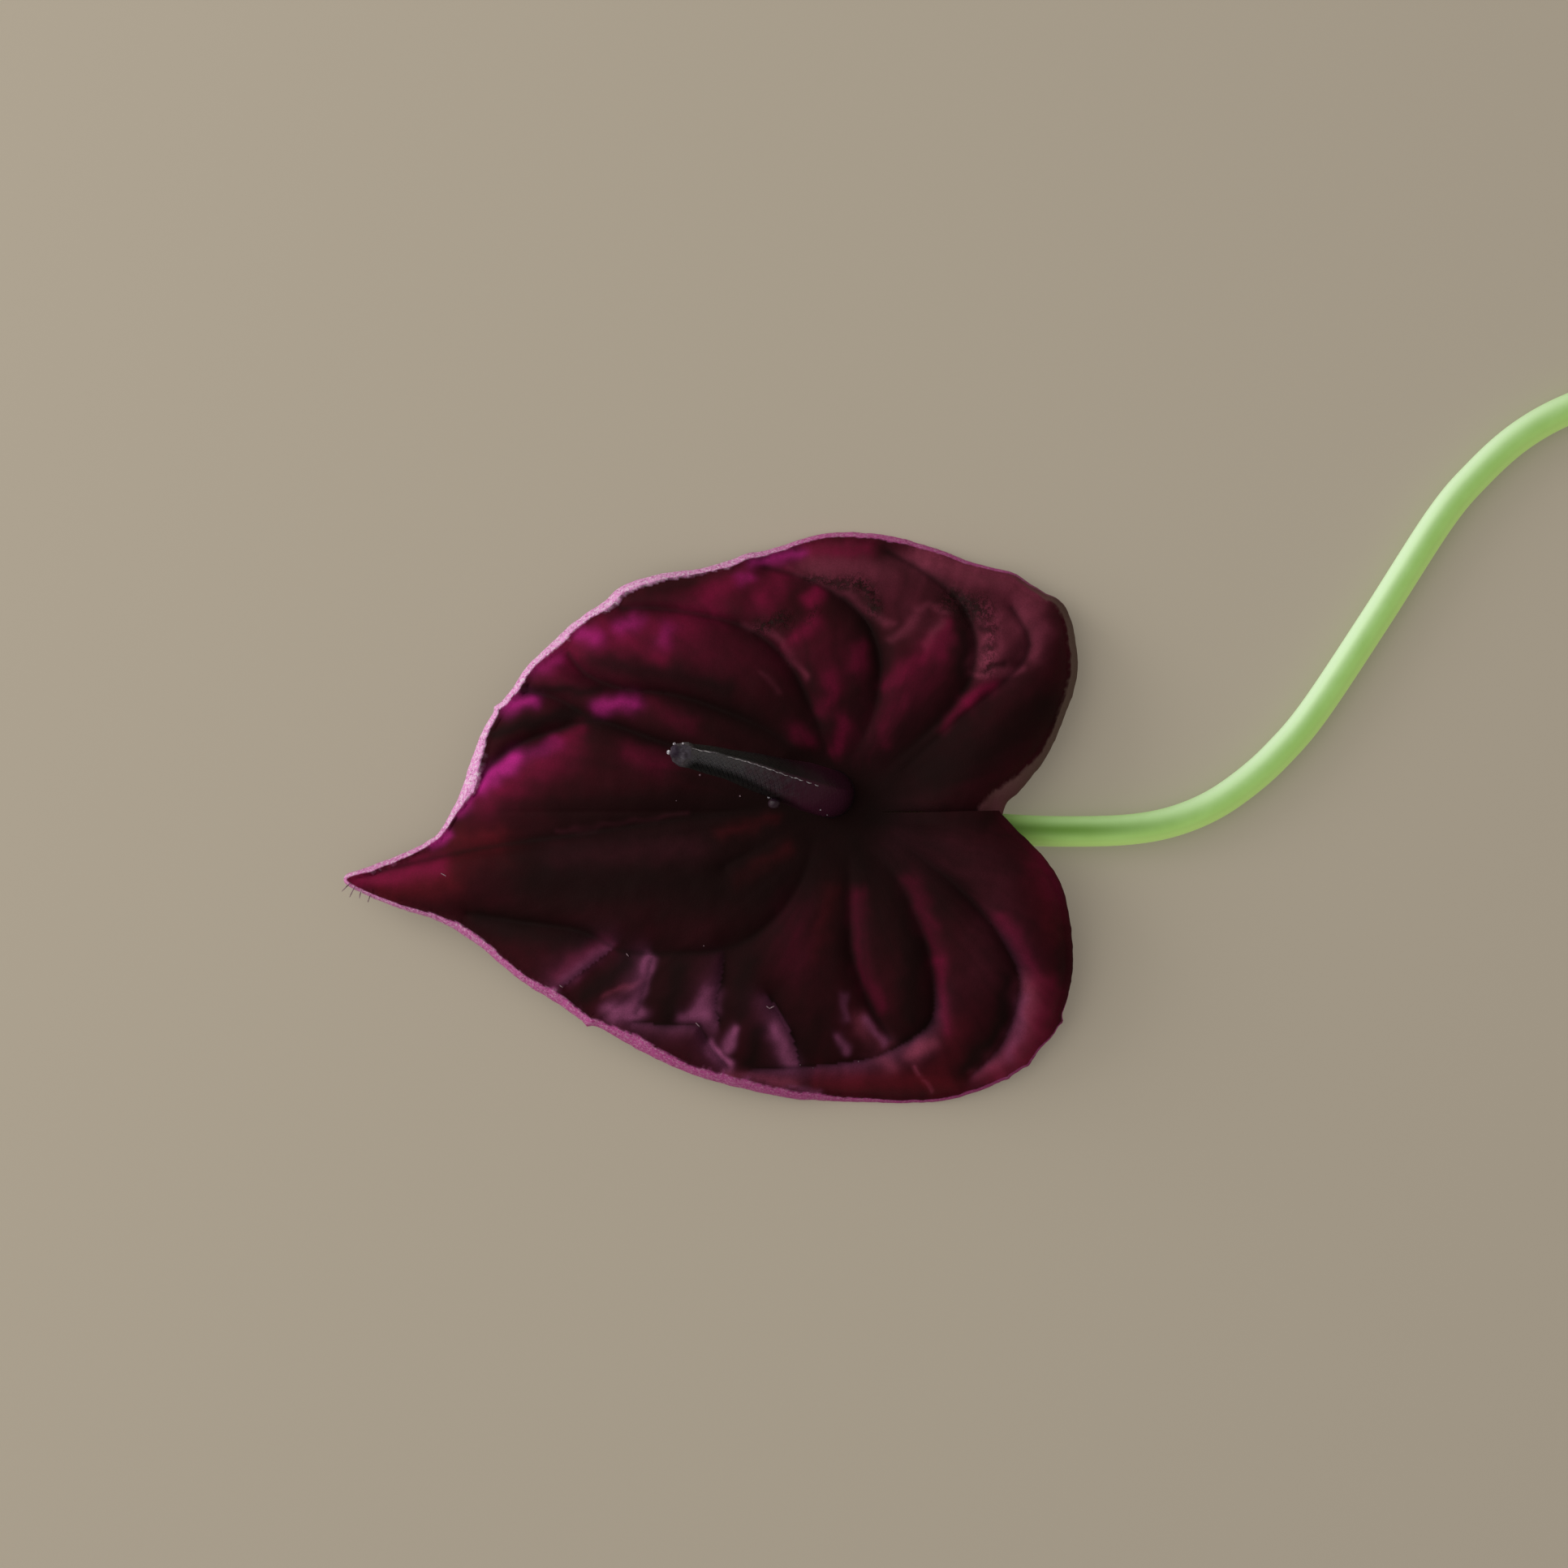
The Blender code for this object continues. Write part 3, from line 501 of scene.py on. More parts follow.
    # Places read off the photograph, in millimetres, after each half-width and strength
    # Besides the flower's own tones, these paint its lit patches as painted highlight and its shaded
    # hollows, in the darkest tone, as painted shade
    streaks: tuple[Streak, ...] = (
        *streaks_of(
            Tone.MAGENTA,
            (1.2, 0.42, ((-41.4, 27.4), (-39.2, 26.4)), 0.5),
            (1.2, 0.46, ((-35.4, 28.4), (-33.4, 29)), 0.5), (1.2, 0.28, ((-28.4, 27.8), (-29, 26)), 0.6),
            (1.2, 0.28, ((-49, 21.8), (-45.2, 23.2)), 0.4),
            (1.1, 0.72, ((-53.2, 15.9), (-50.8, 16.8), (-49.2, 17.2)), 0.4),
            (1.1, 0.56, ((-38.8, 15.8), (-35.8, 16.8), (-33.4, 16.6)), 0.4),
            (1.2, 0.95, ((-57, 4), (-54.5, 6.3), (-51.8, 7.8))), (1.1, 0.22, ((-51.5, 8.2), (-45, 10.5))),
            (0.9, 0.55, ((-60.5, 0), (-57.4, 3.4))), (0.8, 0.62, ((-64.6, -4.8), (-62.2, -3.2))),
            (0.8, 0.35, ((-17.3, 35.8), (-15.8, 36.4))), (0.9, 0.45, ((-15, 38.6), (-8, 40))),
        ),
        *streaks_of(
            Tone.CRIMSON,
            (3.2, 0.5, ((-46, 24), (-38, 27.5), (-29, 28), (-22, 31))), (4.5, 0.2, ((-46, 22), (-26, 25))),
            (1.2, 0.5, ((-29.2, 25.8), (-29.6, 23.8))),
            (1.5, 0.18, ((-38, 16.4), (-31, 16.4), (-25, 13.5))),
            (2.4, 0.55, ((-57, 1.5), (-51, 5.5), (-44, 9))), (1.2, 0.45, ((-45, 10.5), (-41.5, 12.3))),
            (4.0, 0.12, ((-2, 24), (-20, 24))), (4.0, 0.14, ((2, 12), (9, 20))),
            (3.0, 0.15, ((-9.5, -15), (-8.5, -23))),
            (1.6, 0.95, ((-77, -10.6), (-70, -9.6), (-63.5, -8.2))), (1.6, 0.35, ((-34, 9), (-29, 7.2))),
            (1.6, 0.6, ((-22, 33.6), (-18.5, 35.2), (-16, 36.4))), (2.2, 0.6, ((-14, 32.5), (-11, 36.2))),
            (1.4, 0.55, ((-6.5, 40.4), (2, 40.6))), (1.1, 0.8, ((-6.6, 32.3), (-5.5, 33.3))),
            (1.2, 0.6, ((-9.5, 26), (-7.5, 27.5), (-6, 29))), (1.2, 0.45, ((0.6, 22), (1.2, 25))),
            (1.4, 0.45, ((-4.6, 15.5), (-3, 20.5))), (1.3, 0.5, ((-2.4, 9.5), (-1.2, 13.5))),
            (1.2, 0.35, ((-9, 12.5), (-6.5, 11))), (1.4, 0.45, ((5.5, 19.5), (9, 22), (12, 25.5))),
            (1.0, 0.18, ((5, 10.5), (4.6, 13), (6, 16))), (1.4, 0.18, ((8, 17), (12, 21), (15, 26))),
            (1.1, 0.8, ((17.4, 16.8), (19.4, 18.4), (21.2, 19.4))), (0.9, 0.4, ((14, 13), (17, 16.5))),
            (0.9, 0.5, ((13.4, 24), (14.4, 28.8))),
            (1.1, 0.42, ((22.5, -16.5), (25.8, -21.2), (28.4, -26))),
            (1.0, 0.42, ((13, -23), (13.6, -27), (14.4, -33))),
            (1.4, 0.32, ((9.2, -10.6), (11.6, -17.5), (13, -22.5))),
            (1.3, 0.3, ((0.6, -13), (1, -20), (1.8, -25.5), (4, -29.5))),
            (2.0, 0.3, ((28.5, -7.5), (31.5, -13))), (2.0, 0.45, ((30, -27.5), (28.4, -34.5), (23, -40.5))),
            (1.3, 0.55, ((-38.2, -20.8), (-41.8, -23.2), (-44.4, -25.6))),
        ),
        *streaks_of(
            Tone.RED,
            (2.2, 0.6, ((-72, -12), (-62, -10.5))), (2.4, 0.3, ((-62, -7), (-54, -5.5))),
            (1.6, 0.36, ((-61, -4), (-55, -3.6))), (1.0, 0.24, ((-20, -3.3), (-12, -0.8))),
            (1.3, 0.24, ((-17.5, -10.5), (-10, -5.5))), (1.5, 0.14, ((-3.5, -12), (-5.5, -22))),
            (2.4, 0.4, ((29, -27), (30, -31), (27.8, -36.5))), (2.2, 0.22, ((28, -8), (31.5, -19))),
            (1.4, 0.45, ((14, -43), (22, -41), (27, -38.2))), (2.4, 0.25, ((15.5, -33.5), (14.5, -38.5))),
            (1.9, 0.6, ((-5, -41.5), (4, -41.8), (13, -41.5))),
        ),
        *streaks_of(
            Tone.MAUVE,
            (0.7, 0.28, ((6, 26), (8, 27.6), (9.5, 29.5)), 0.2),
            (0.7, 0.3, ((10, 31), (12, 31.8), (14.5, 30.5)), 0.22),
            (0.7, 0.28, ((11.5, 25.5), (12.6, 27.2), (13.5, 29)), 0.2),
            (2.0, 0.55, ((20.5, 23), (21.5, 30))), (1.5, 0.4, ((25, 28.5), (26.5, 31))),
            (1.6, 0.45, ((27.4, 24), (29, 28))),
            (1.9, 0.56, ((28.5, 32.8), (23, 35.8), (17.5, 37.3), (10.5, 39.4))),
            (2.0, 0.34, ((-6, 38), (4.5, 37))),
            (0.6, 0.24, ((-10, 37.5), (-6.5, 35.5), (-4, 34.5), (-1, 33.5), (1, 31.5), (4, 29.5),
             (6, 28.5)), 0.13),
            (0.6, 0.28, ((-16.5, 28.8), (-14, 27.5), (-11, 26), (-9.5, 23.5), (-7, 20.5)), 0.13),
            (0.5, 0.45, ((18.8, 21), (22, 21.1), (26, 21.8)), 0.25),
            (0.5, 0.14, ((-14, 21), (-11.5, 18.5)), -0.3),
            (0.4, 0.14, ((-25, -0.2), (-35, -1.8), (-45, -3.2)), 0.12),
            (3.5, 0.2, ((22, 23), (27, 29), (20, 35), (10, 38))),
            (3.0, 0.16, ((-3, 38), (6, 34), (12, 27))), (2.2, 0.1, ((-45, -6.5), (-25, -5.5))),
            (4.0, 0.09, ((9, -4), (22, -9.5), (20, -24))), (1.2, 0.8, ((9.2, -36.8), (11.6, -35.6))),
            (0.35, 0.7, ((9.5, -39), (10.5, -40.5)), 0.2), (0.35, 0.7, ((11, -41.5), (12.2, -43.3)), 0.2),
            (1.5, 0.45, ((1.5, -32.5), (5, -36))), (1.2, 0.5, ((3.6, -37.8), (6.3, -39.4))),
            (1.0, 0.5, ((-19, -40.2), (-14, -41.2), (-9, -42))),
            (0.4, 0.3, ((-38.5, -28.5), (-32, -25.5)), -0.25),
            (1.9, 0.9, ((27, -27), (27.4, -30), (26.8, -34), (25.2, -37.5), (23, -39.6))),
            (1.0, 0.55, ((22, -39.2), (19.6, -40.8))),
        ),
        *streaks_of(
            Tone.LILAC,
            (1.0, 0.3, ((26, -29), (25.4, -34.5), (24, -38))), (1.3, 0.42, ((-21.8, -28), (-23.4, -31.2))),
            (0.7, 1.0, ((-22, -36), (-20.6, -37.8), (-19, -38.8))),
            (0.7, 0.65, ((-18.2, -33.2), (-19.4, -36.5))),
            (1.1, 0.62, ((-12.2, -33), (-10.8, -36), (-9.4, -38.4))),
            (0.6, 0.4, ((-2.3, -34.3), (-0.7, -36.7))), (0.6, 0.2, ((-1.2, -28), (-1.2, -32))),
            (0.6, 0.55, ((2.2, -32), (5, -35.3))), (0.5, 0.35, ((-10, -42.8), (-5, -43.3))),
            (0.8, 0.35, ((-38.2, -21), (-41.4, -23.6), (-43.8, -25.8))),
            (0.7, 0.8, ((-31.2, -22.6), (-31.9, -25.5), (-32.8, -28.2), (-34.3, -31.4))),
            (1.3, 0.95, ((-36.4, -30.8), (-33.4, -30.6))), (0.9, 0.5, ((-26, -31.4), (-21.6, -30.4))),
        ),
        # Painted shade in the shaded hollows of the face
        *streaks_of(
            Tone.NIGHT,
            (0.8, 0.45, ((1.5, 9.5), (0.8, 14), (1, 18.5))),
            (0.9, 0.4, ((-5, 13.5), (-4.6, 17.5), (-6.4, 22.5))),
            (0.9, 0.4, ((7, 13), (9, 17.5), (10, 21.5))), (0.45, 0.8, ((19.7, 27.7), (22, 28.2)), -0.5),
            (0.45, 0.7, ((20, 25), (22.2, 25.2)), -0.4),
            (0.5, 0.8, ((20, 21.6), (21.5, 22.2), (23.2, 22.5)), -0.5),
            (1.3, 0.85, ((16.8, 21.5), (17, 27))), (3.8, 0.9, ((13, 5.5), (22, 10.5), (29.5, 16))),
            (1.1, 0.55, ((3.2, 17), (3.6, 25), (2, 29))), (2.2, 0.3, ((-2.2, 33), (-0.2, 27))),
            (0.9, 0.95, ((-50, 18.6), (-44.5, 18.4), (-38.5, 18.6))),
            (1.1, 0.95, ((-55, 12), (-49.5, 13.4), (-42.5, 15.2))),
            (1.8, 0.92, ((-39.5, 23), (-33, 21.8), (-27, 20.6), (-19, 18.8))),
            (1.0, 0.5, ((-31, 34), (-24.5, 35.5))), (1.3, 0.5, ((-40, 13.5), (-27.5, 10))),
            (2.0, 0.5, ((-24, 16.5), (-15.5, 14.5))), (6.5, 0.97, ((-48, -10.5), (-36, -10.5), (-14, -11))),
            (4.0, 0.6, ((-42, -3), (-20, 1), (-9, 2))), (2.2, 0.9, ((3, -0.8), (20, -1.2))),
            (3.5, 0.55, ((10, -4), (24, -8))), (4.5, 0.45, ((-6, -24), (14, -12))),
            (2.2, 0.8, ((-57, -16.5), (-48.8, -18.8), (-41, -19.5))), (1.8, 0.5, ((-46, 0.5), (-27, 2))),
            (1.4, 0.9, ((-41, -28.5), (-37.8, -26), (-34.3, -23.3))),
            (2.0, 0.95, ((-28.2, -31), (-27, -27.5), (-26.2, -24))),
            (1.9, 0.75, ((-17.2, -30.5), (-16, -23.5))), (1.4, 0.9, ((-15.7, -38.8), (-14.4, -33.5))),
            (2.2, 0.6, ((-7.5, -36), (-5, -31.5))), (1.7, 0.8, ((10, -20), (8.6, -25.5), (8.6, -31.5))),
            (0.8, 0.6, ((12, -32), (9, -34.5), (6, -35.3))),
            (1.2, 0.85, ((23.4, -25.5), (23, -31), (21.3, -36))), (1.5, 0.8, ((19.5, -36.5), (17.5, -41))),
            (1.0, 0.5, ((32, -18), (32.6, -26))), (1.0, 0.5, ((7.8, -17), (8.4, -22))),
            (1.2, 0.6, ((0.6, -5), (1.4, -8))),
        ),
    )
    # How wide the pale paint of the lip is, how much painted light it takes, most on the left where the
    # light falls, and how violet it is, by the angle round the middle
    lip_paint: Table = (
        (0, 0.0), (42, 0.0), (56, 0.5), (70, 0.8), (112, 0.95), (119, 1.15), (132, 1.15), (152, 0.9),
        (164, 0.75), (172, 0.95), (262, 0.95), (300, 0.9), (314, 0.4), (322, 0.0), (360, 0.0),
    )
    lip_painted_light_by_angle: Table = (
        (0, 0.1), (48, 0.2), (70, 0.32), (95, 0.5), (106, 0.62), (118, 0.72), (130, 0.86), (142, 1.0),
        (176, 1.0), (186, 0.72), (196, 0.66), (215, 0.6), (240, 0.56), (262, 0.48), (290, 0.25),
        (312, 0.12), (360, 0.1),
    )
    lip_violet: Table = (
        (0, 0.3), (60, 0.3), (96, 0.35), (112, 0.9), (128, 1.0), (180, 1.0), (190, 0.7), (204, 0.35),
        (225, 0.2), (300, 0.2), (360, 0.3),
    )
    # The dull strip inside the right margin, whose grey and brown are painted reflection of the pale
    # surroundings: its width, how plain it is and how brown
    strip_widths: Table = (
        (0, 4.0), (7, 3.9), (10, 3.0), (11.5, 2.15), (13.2, 1.75), (15, 1.4), (18.5, 1.0),
        (23, 1.0), (30, 1.2), (40, 1.2), (52, 0.9), (360, 0.9),
    )
    strip_share: Table = ((0, 1.0), (40, 1.0), (58, 0.0), (360, 0.0))
    strip_brown: Table = ((0, 0.0), (8, 0.1), (16, 0.8), (24, 1.0), (360, 1.0))


@dataclass(frozen=True)
class SpatheFinish:
    """Velvety wine-black face with pink blushes that are partly painted highlight, painted shade in its
    hollows, and a pale lip with painted light and glints.
    """

    # Wine-black of the velvet, which the painted shade also takes
    night: Colour = (0.0098, 0.0050, 0.0047)
    wine: Colour = (0.050, 0.0060, 0.0112)
    mauve: Colour = (0.330, 0.058, 0.114)
    red: Colour = (0.175, 0.0110, 0.022)
    crimson: Colour = (0.235, 0.0088, 0.054)
    # Vivid pink of the blushes, partly a painted highlight
    magenta: Colour = (0.540, 0.024, 0.275)
    lilac: Colour = (0.420, 0.110, 0.270)
    lip_deep: Colour = (0.260, 0.020, 0.125)
    # Pale violet that stands for painted sheen
    lip_rose: Colour = (0.740, 0.105, 0.450)
    lip_violet: Colour = (0.920, 0.400, 0.800)
    # White of the painted glints on the lip
    lip_glint_white: Colour = (0.960, 0.800, 0.950)
    # Painted reflection of the pale surroundings on the dull strip
    strip_grey: Colour = (0.165, 0.054, 0.070)
    strip_brown: Colour = (0.138, 0.088, 0.075)
    back: Colour = (0.125, 0.022, 0.050)
    back_rib: Colour = (0.240, 0.060, 0.090)
    bruise: Colour = (0.018, 0.008, 0.007)
    # The noises, and the values between which some of them rise
    fine: Numbers = (0.22, 3.0, 0.7)
    mottle: Numbers = (2.6, 4.0, 0.6)
    cloud: Numbers = (9.0, 2.0)
    pits: Numbers = (0.8, 3.0, 0.8)
    pits_rise: Point2 = (0.44, 0.58)
    skin: Numbers = (0.6, 2.0)
    sparkle: Numbers = (0.30, 2.0, 0.75)
    painted_glints: Numbers = (0.42, 3.0, 0.85)
    painted_glints_rise: Point2 = (0.50, 0.60)
    dark: Numbers = (0.55, 2.0, 0.8)
    dark_rise: Point2 = (0.52, 0.62)
    roughness: float = 0.62
    specular: float = 0.03
    coat_roughness: float = 0.38
    bump_depth: float = 0.09

    def material(self) -> bpy.types.Material:
        """Mix the tones by the marks on the mesh, with grain, pits and sparkle.

        Returns:
            The spathe's material.
        """
        made = NodeFinish("spathe_velvet")
        place = made.places()
        fine = made.noise(place, *self.fine)
        mottle = made.noise(place, *self.mottle)
        cloud = made.noise(place, *self.cloud)
        pits = made.noise(place, *self.pits).rise(*self.pits_rise)
        lip, bruise = made.mark("lip"), made.mark("bruise")
        # Less wine, so darker, in the veins' hollows and the middle: partly painted shade
        wine = made.mark("wine") * (0.2 + mottle * 0.75 + cloud * 0.4 + made.mark("rays") * 0.5)
        colour = made.mix(self.night, self.wine, wine.held())
        breakup = (0.5 + mottle * 0.6 + (fine - 0.5) * 0.8) * (0.7 + made.mark("rays") * 0.6)
        # The vivid pink tone is partly painted highlight and the pale violet one painted sheen
        for tone in (Tone.MAUVE, Tone.RED, Tone.CRIMSON, Tone.MAGENTA, Tone.LILAC):
            share = made.mark(tone.value) * breakup
            colour = made.mix(colour, getattr(self, tone.value), share.held())
        colour = made.mix(colour, self.bruise, (bruise * pits * 0.9).held())
        # Painted shade in the veins' creases
        colour = made.mix(colour, self.night, (made.mark("crease") * 0.55).held())
        colour = made.mix(colour, self.lips(made, fine), lip)
        strip = made.mix(self.strip_grey, self.strip_brown, made.mark("strip_brown"))
        colour = made.mix(colour, strip, (made.mark("strip") * (0.6 + fine * 0.7)).held())
        back = made.mix(self.back, self.back_rib, (made.mark("crease") * 0.8 + mottle * 0.2).held())
        colour = made.mix(colour, back, made.mark("back"))
        skin = fine * 0.45 + made.noise(place, *self.skin) * 0.35 - pits * bruise * 1.6
        sparkle = made.noise(place, *self.sparkle) * lip * 1.3
        roughness = self.roughness - lip * 0.16 + (mottle - 0.5) * 0.2
        return made.dress(
            Base_Color=colour, Roughness=roughness, Specular_IOR_Level=self.specular,
            Coat_Weight=(lip * 0.10 + bruise * 0.04).held(), Coat_Roughness=self.coat_roughness,
            Normal=made.bump(skin + sparkle, self.bump_depth),
        )

    def lips(self, made: NodeFinish, fine: Value) -> Value:
        """Colour the lip, from dark to pale round the margin as its painted light grows, with white grains
        of painted glints.

        Args:
            made: The material so far.
            fine: Its fine grain.

        Returns:
            The lip's colour.
        """
        painted_light, violet = made.mark("lip_bright"), made.mark("lip_violet")
        pale = made.mix(self.lip_rose, self.lip_violet, violet)
        colour = made.mix(self.lip_deep, pale, (painted_light * (0.5 + fine * 0.9)).held())
        painted_glints = made.noise(made.places(), *self.painted_glints).rise(*self.painted_glints_rise)
        dark = made.noise(made.places(), *self.dark).rise(*self.dark_rise)
        colour = made.mix(colour, self.lip_deep, dark * 0.45)
        return made.mix(colour, self.lip_glint_white, (painted_glints * painted_light * (0.3 + violet * 0.55)).held())


@dataclass(frozen=True)
class DriedFinish:
    """Dried pinkish fibre, or with other numbers dried whitish sap with clear droplets."""

    name: str = "fibre_pale"
    pale: Colour = (0.30, 0.20, 0.24)
    dark: Colour = (0.10, 0.035, 0.06)
    clear: Colour = (0.030, 0.012, 0.024)
    cloud: Numbers = (0.6, 2.0, 0.6)
    cloud_rise: Point2 = (0.3, 0.6)
    roughness: Point2 = (0.5, 0.2)
    specular: float = 0.5
    bump_depth: float = 0.03

    def material(self) -> bpy.types.Material:
        """Mix dark, pale and clear in small spots.

        Returns:
            The material.
        """
        made = NodeFinish(self.name)
        cloud = made.noise(made.places(), *self.cloud)
        colour = made.mix(self.dark, self.pale, cloud.rise(*self.cloud_rise))
        colour = made.mix(colour, self.clear, made.mark("clear"))
        least, more = self.roughness
        return made.dress(
            Base_Color=colour, Roughness=least + cloud * more, Specular_IOR_Level=self.specular,
            Normal=made.bump(cloud, self.bump_depth),
        )


@dataclass
class Mesh:
    """Corners, faces and marks of a mesh that grows piece by piece, in millimetres."""

    corners: list[np.ndarray] = field(default_factory=list)
    faces: list[tuple[int, ...]] = field(default_factory=list)
    marks: dict[str, list[np.ndarray]] = field(default_factory=dict)
    count: int = 0

    def add(
        self, corners: np.ndarray, faces: Iterable[tuple[int, ...]], marks: Mapping[str, np.ndarray | float]
    ) -> int:
        """Add corners with their faces and marks.

        Args:
            corners: The new corners, one a row.
            faces: Faces by the new corners' own numbers.
            marks: A value, or one for each new corner, by the mark's name.

        Returns:
            The number of the first new corner.
        """
        first = self.count
        self.corners.append(np.asarray(corners, float))
        self.faces.extend(tuple(first + index for index in face) for face in faces)
        for name in sorted(set(self.marks) | set(marks)):
            held = self.marks.setdefault(name, [np.zeros(first)] if first else [])
            held.append(np.broadcast_to(marks.get(name, 0.0), len(corners)).astype(float))
        self.count += len(corners)
        return first

    def join(self, rings: Sequence[int], around: int, turned: bool = False) -> None:
        """Join rings of corners by strips of faces.

        Args:
            rings: The number of each ring's first corner.
            around: How many corners a ring has.
            turned: Whether the faces look the other way.
        """
        for before, after in zip(rings, rings[1:]):
            for index in range(around):
                beside = (index + 1) % around
                face = (before + index, before + beside, after + beside, after + index)
                self.faces.append((face[0], *face[:0:-1]) if turned else face)

    def cap(self, ring: int, around: int, centre: int, turned: bool = False) -> None:
        """Close a ring of corners by triangles round a centre.

        Args:
            ring: The number of the ring's first corner.
            around: How many corners it has.
            centre: The number of the corner in its middle.
            turned: Whether the triangles look the other way.
        """
        for index in range(around):
            face = (ring + index, ring + (index + 1) % around, centre)
            self.faces.append(face[::-1] if turned else face)

    def piece(self, name: str, finish: bpy.types.Material, sharp: float = 50.0) -> bpy.types.Object:
        """Make the Blender object.

        Args:
            name: The piece's name.
            finish: Its material.
            sharp: The angle in degrees above which an edge stays sharp.

        Returns:
            The object, in its place in the frame.
        """
        place = np.array([*FLOWER_PLACE, 0.0])
        corners = (np.vstack(self.corners) + place) * MM
        mesh = bpy.data.meshes.new(name)
        mesh.from_pydata(corners.tolist(), [], self.faces)
        for mark, values in self.marks.items():
            held = mesh.attributes.new(mark, "FLOAT", "POINT")
            held.data.foreach_set("value", np.concatenate(values).astype(np.float32))
        mesh.shade_smooth()
        mesh.set_sharp_from_angle(angle=math.radians(sharp))
        mesh.materials.append(finish)
        made = bpy.data.objects.new(name, mesh)
        bpy.context.scene.collection.objects.link(made)
        LOG.info("%s: %d corners, %d faces", name, len(mesh.vertices), len(mesh.polygons))
        return made


def wear(piece: bpy.types.Object, node: str) -> None:
    """Let a piece ride on the body and stand for its node.

    Args:
        piece: The piece.
        node: The solid that it stands for.
    """
    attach(piece, "root")
    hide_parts(node)


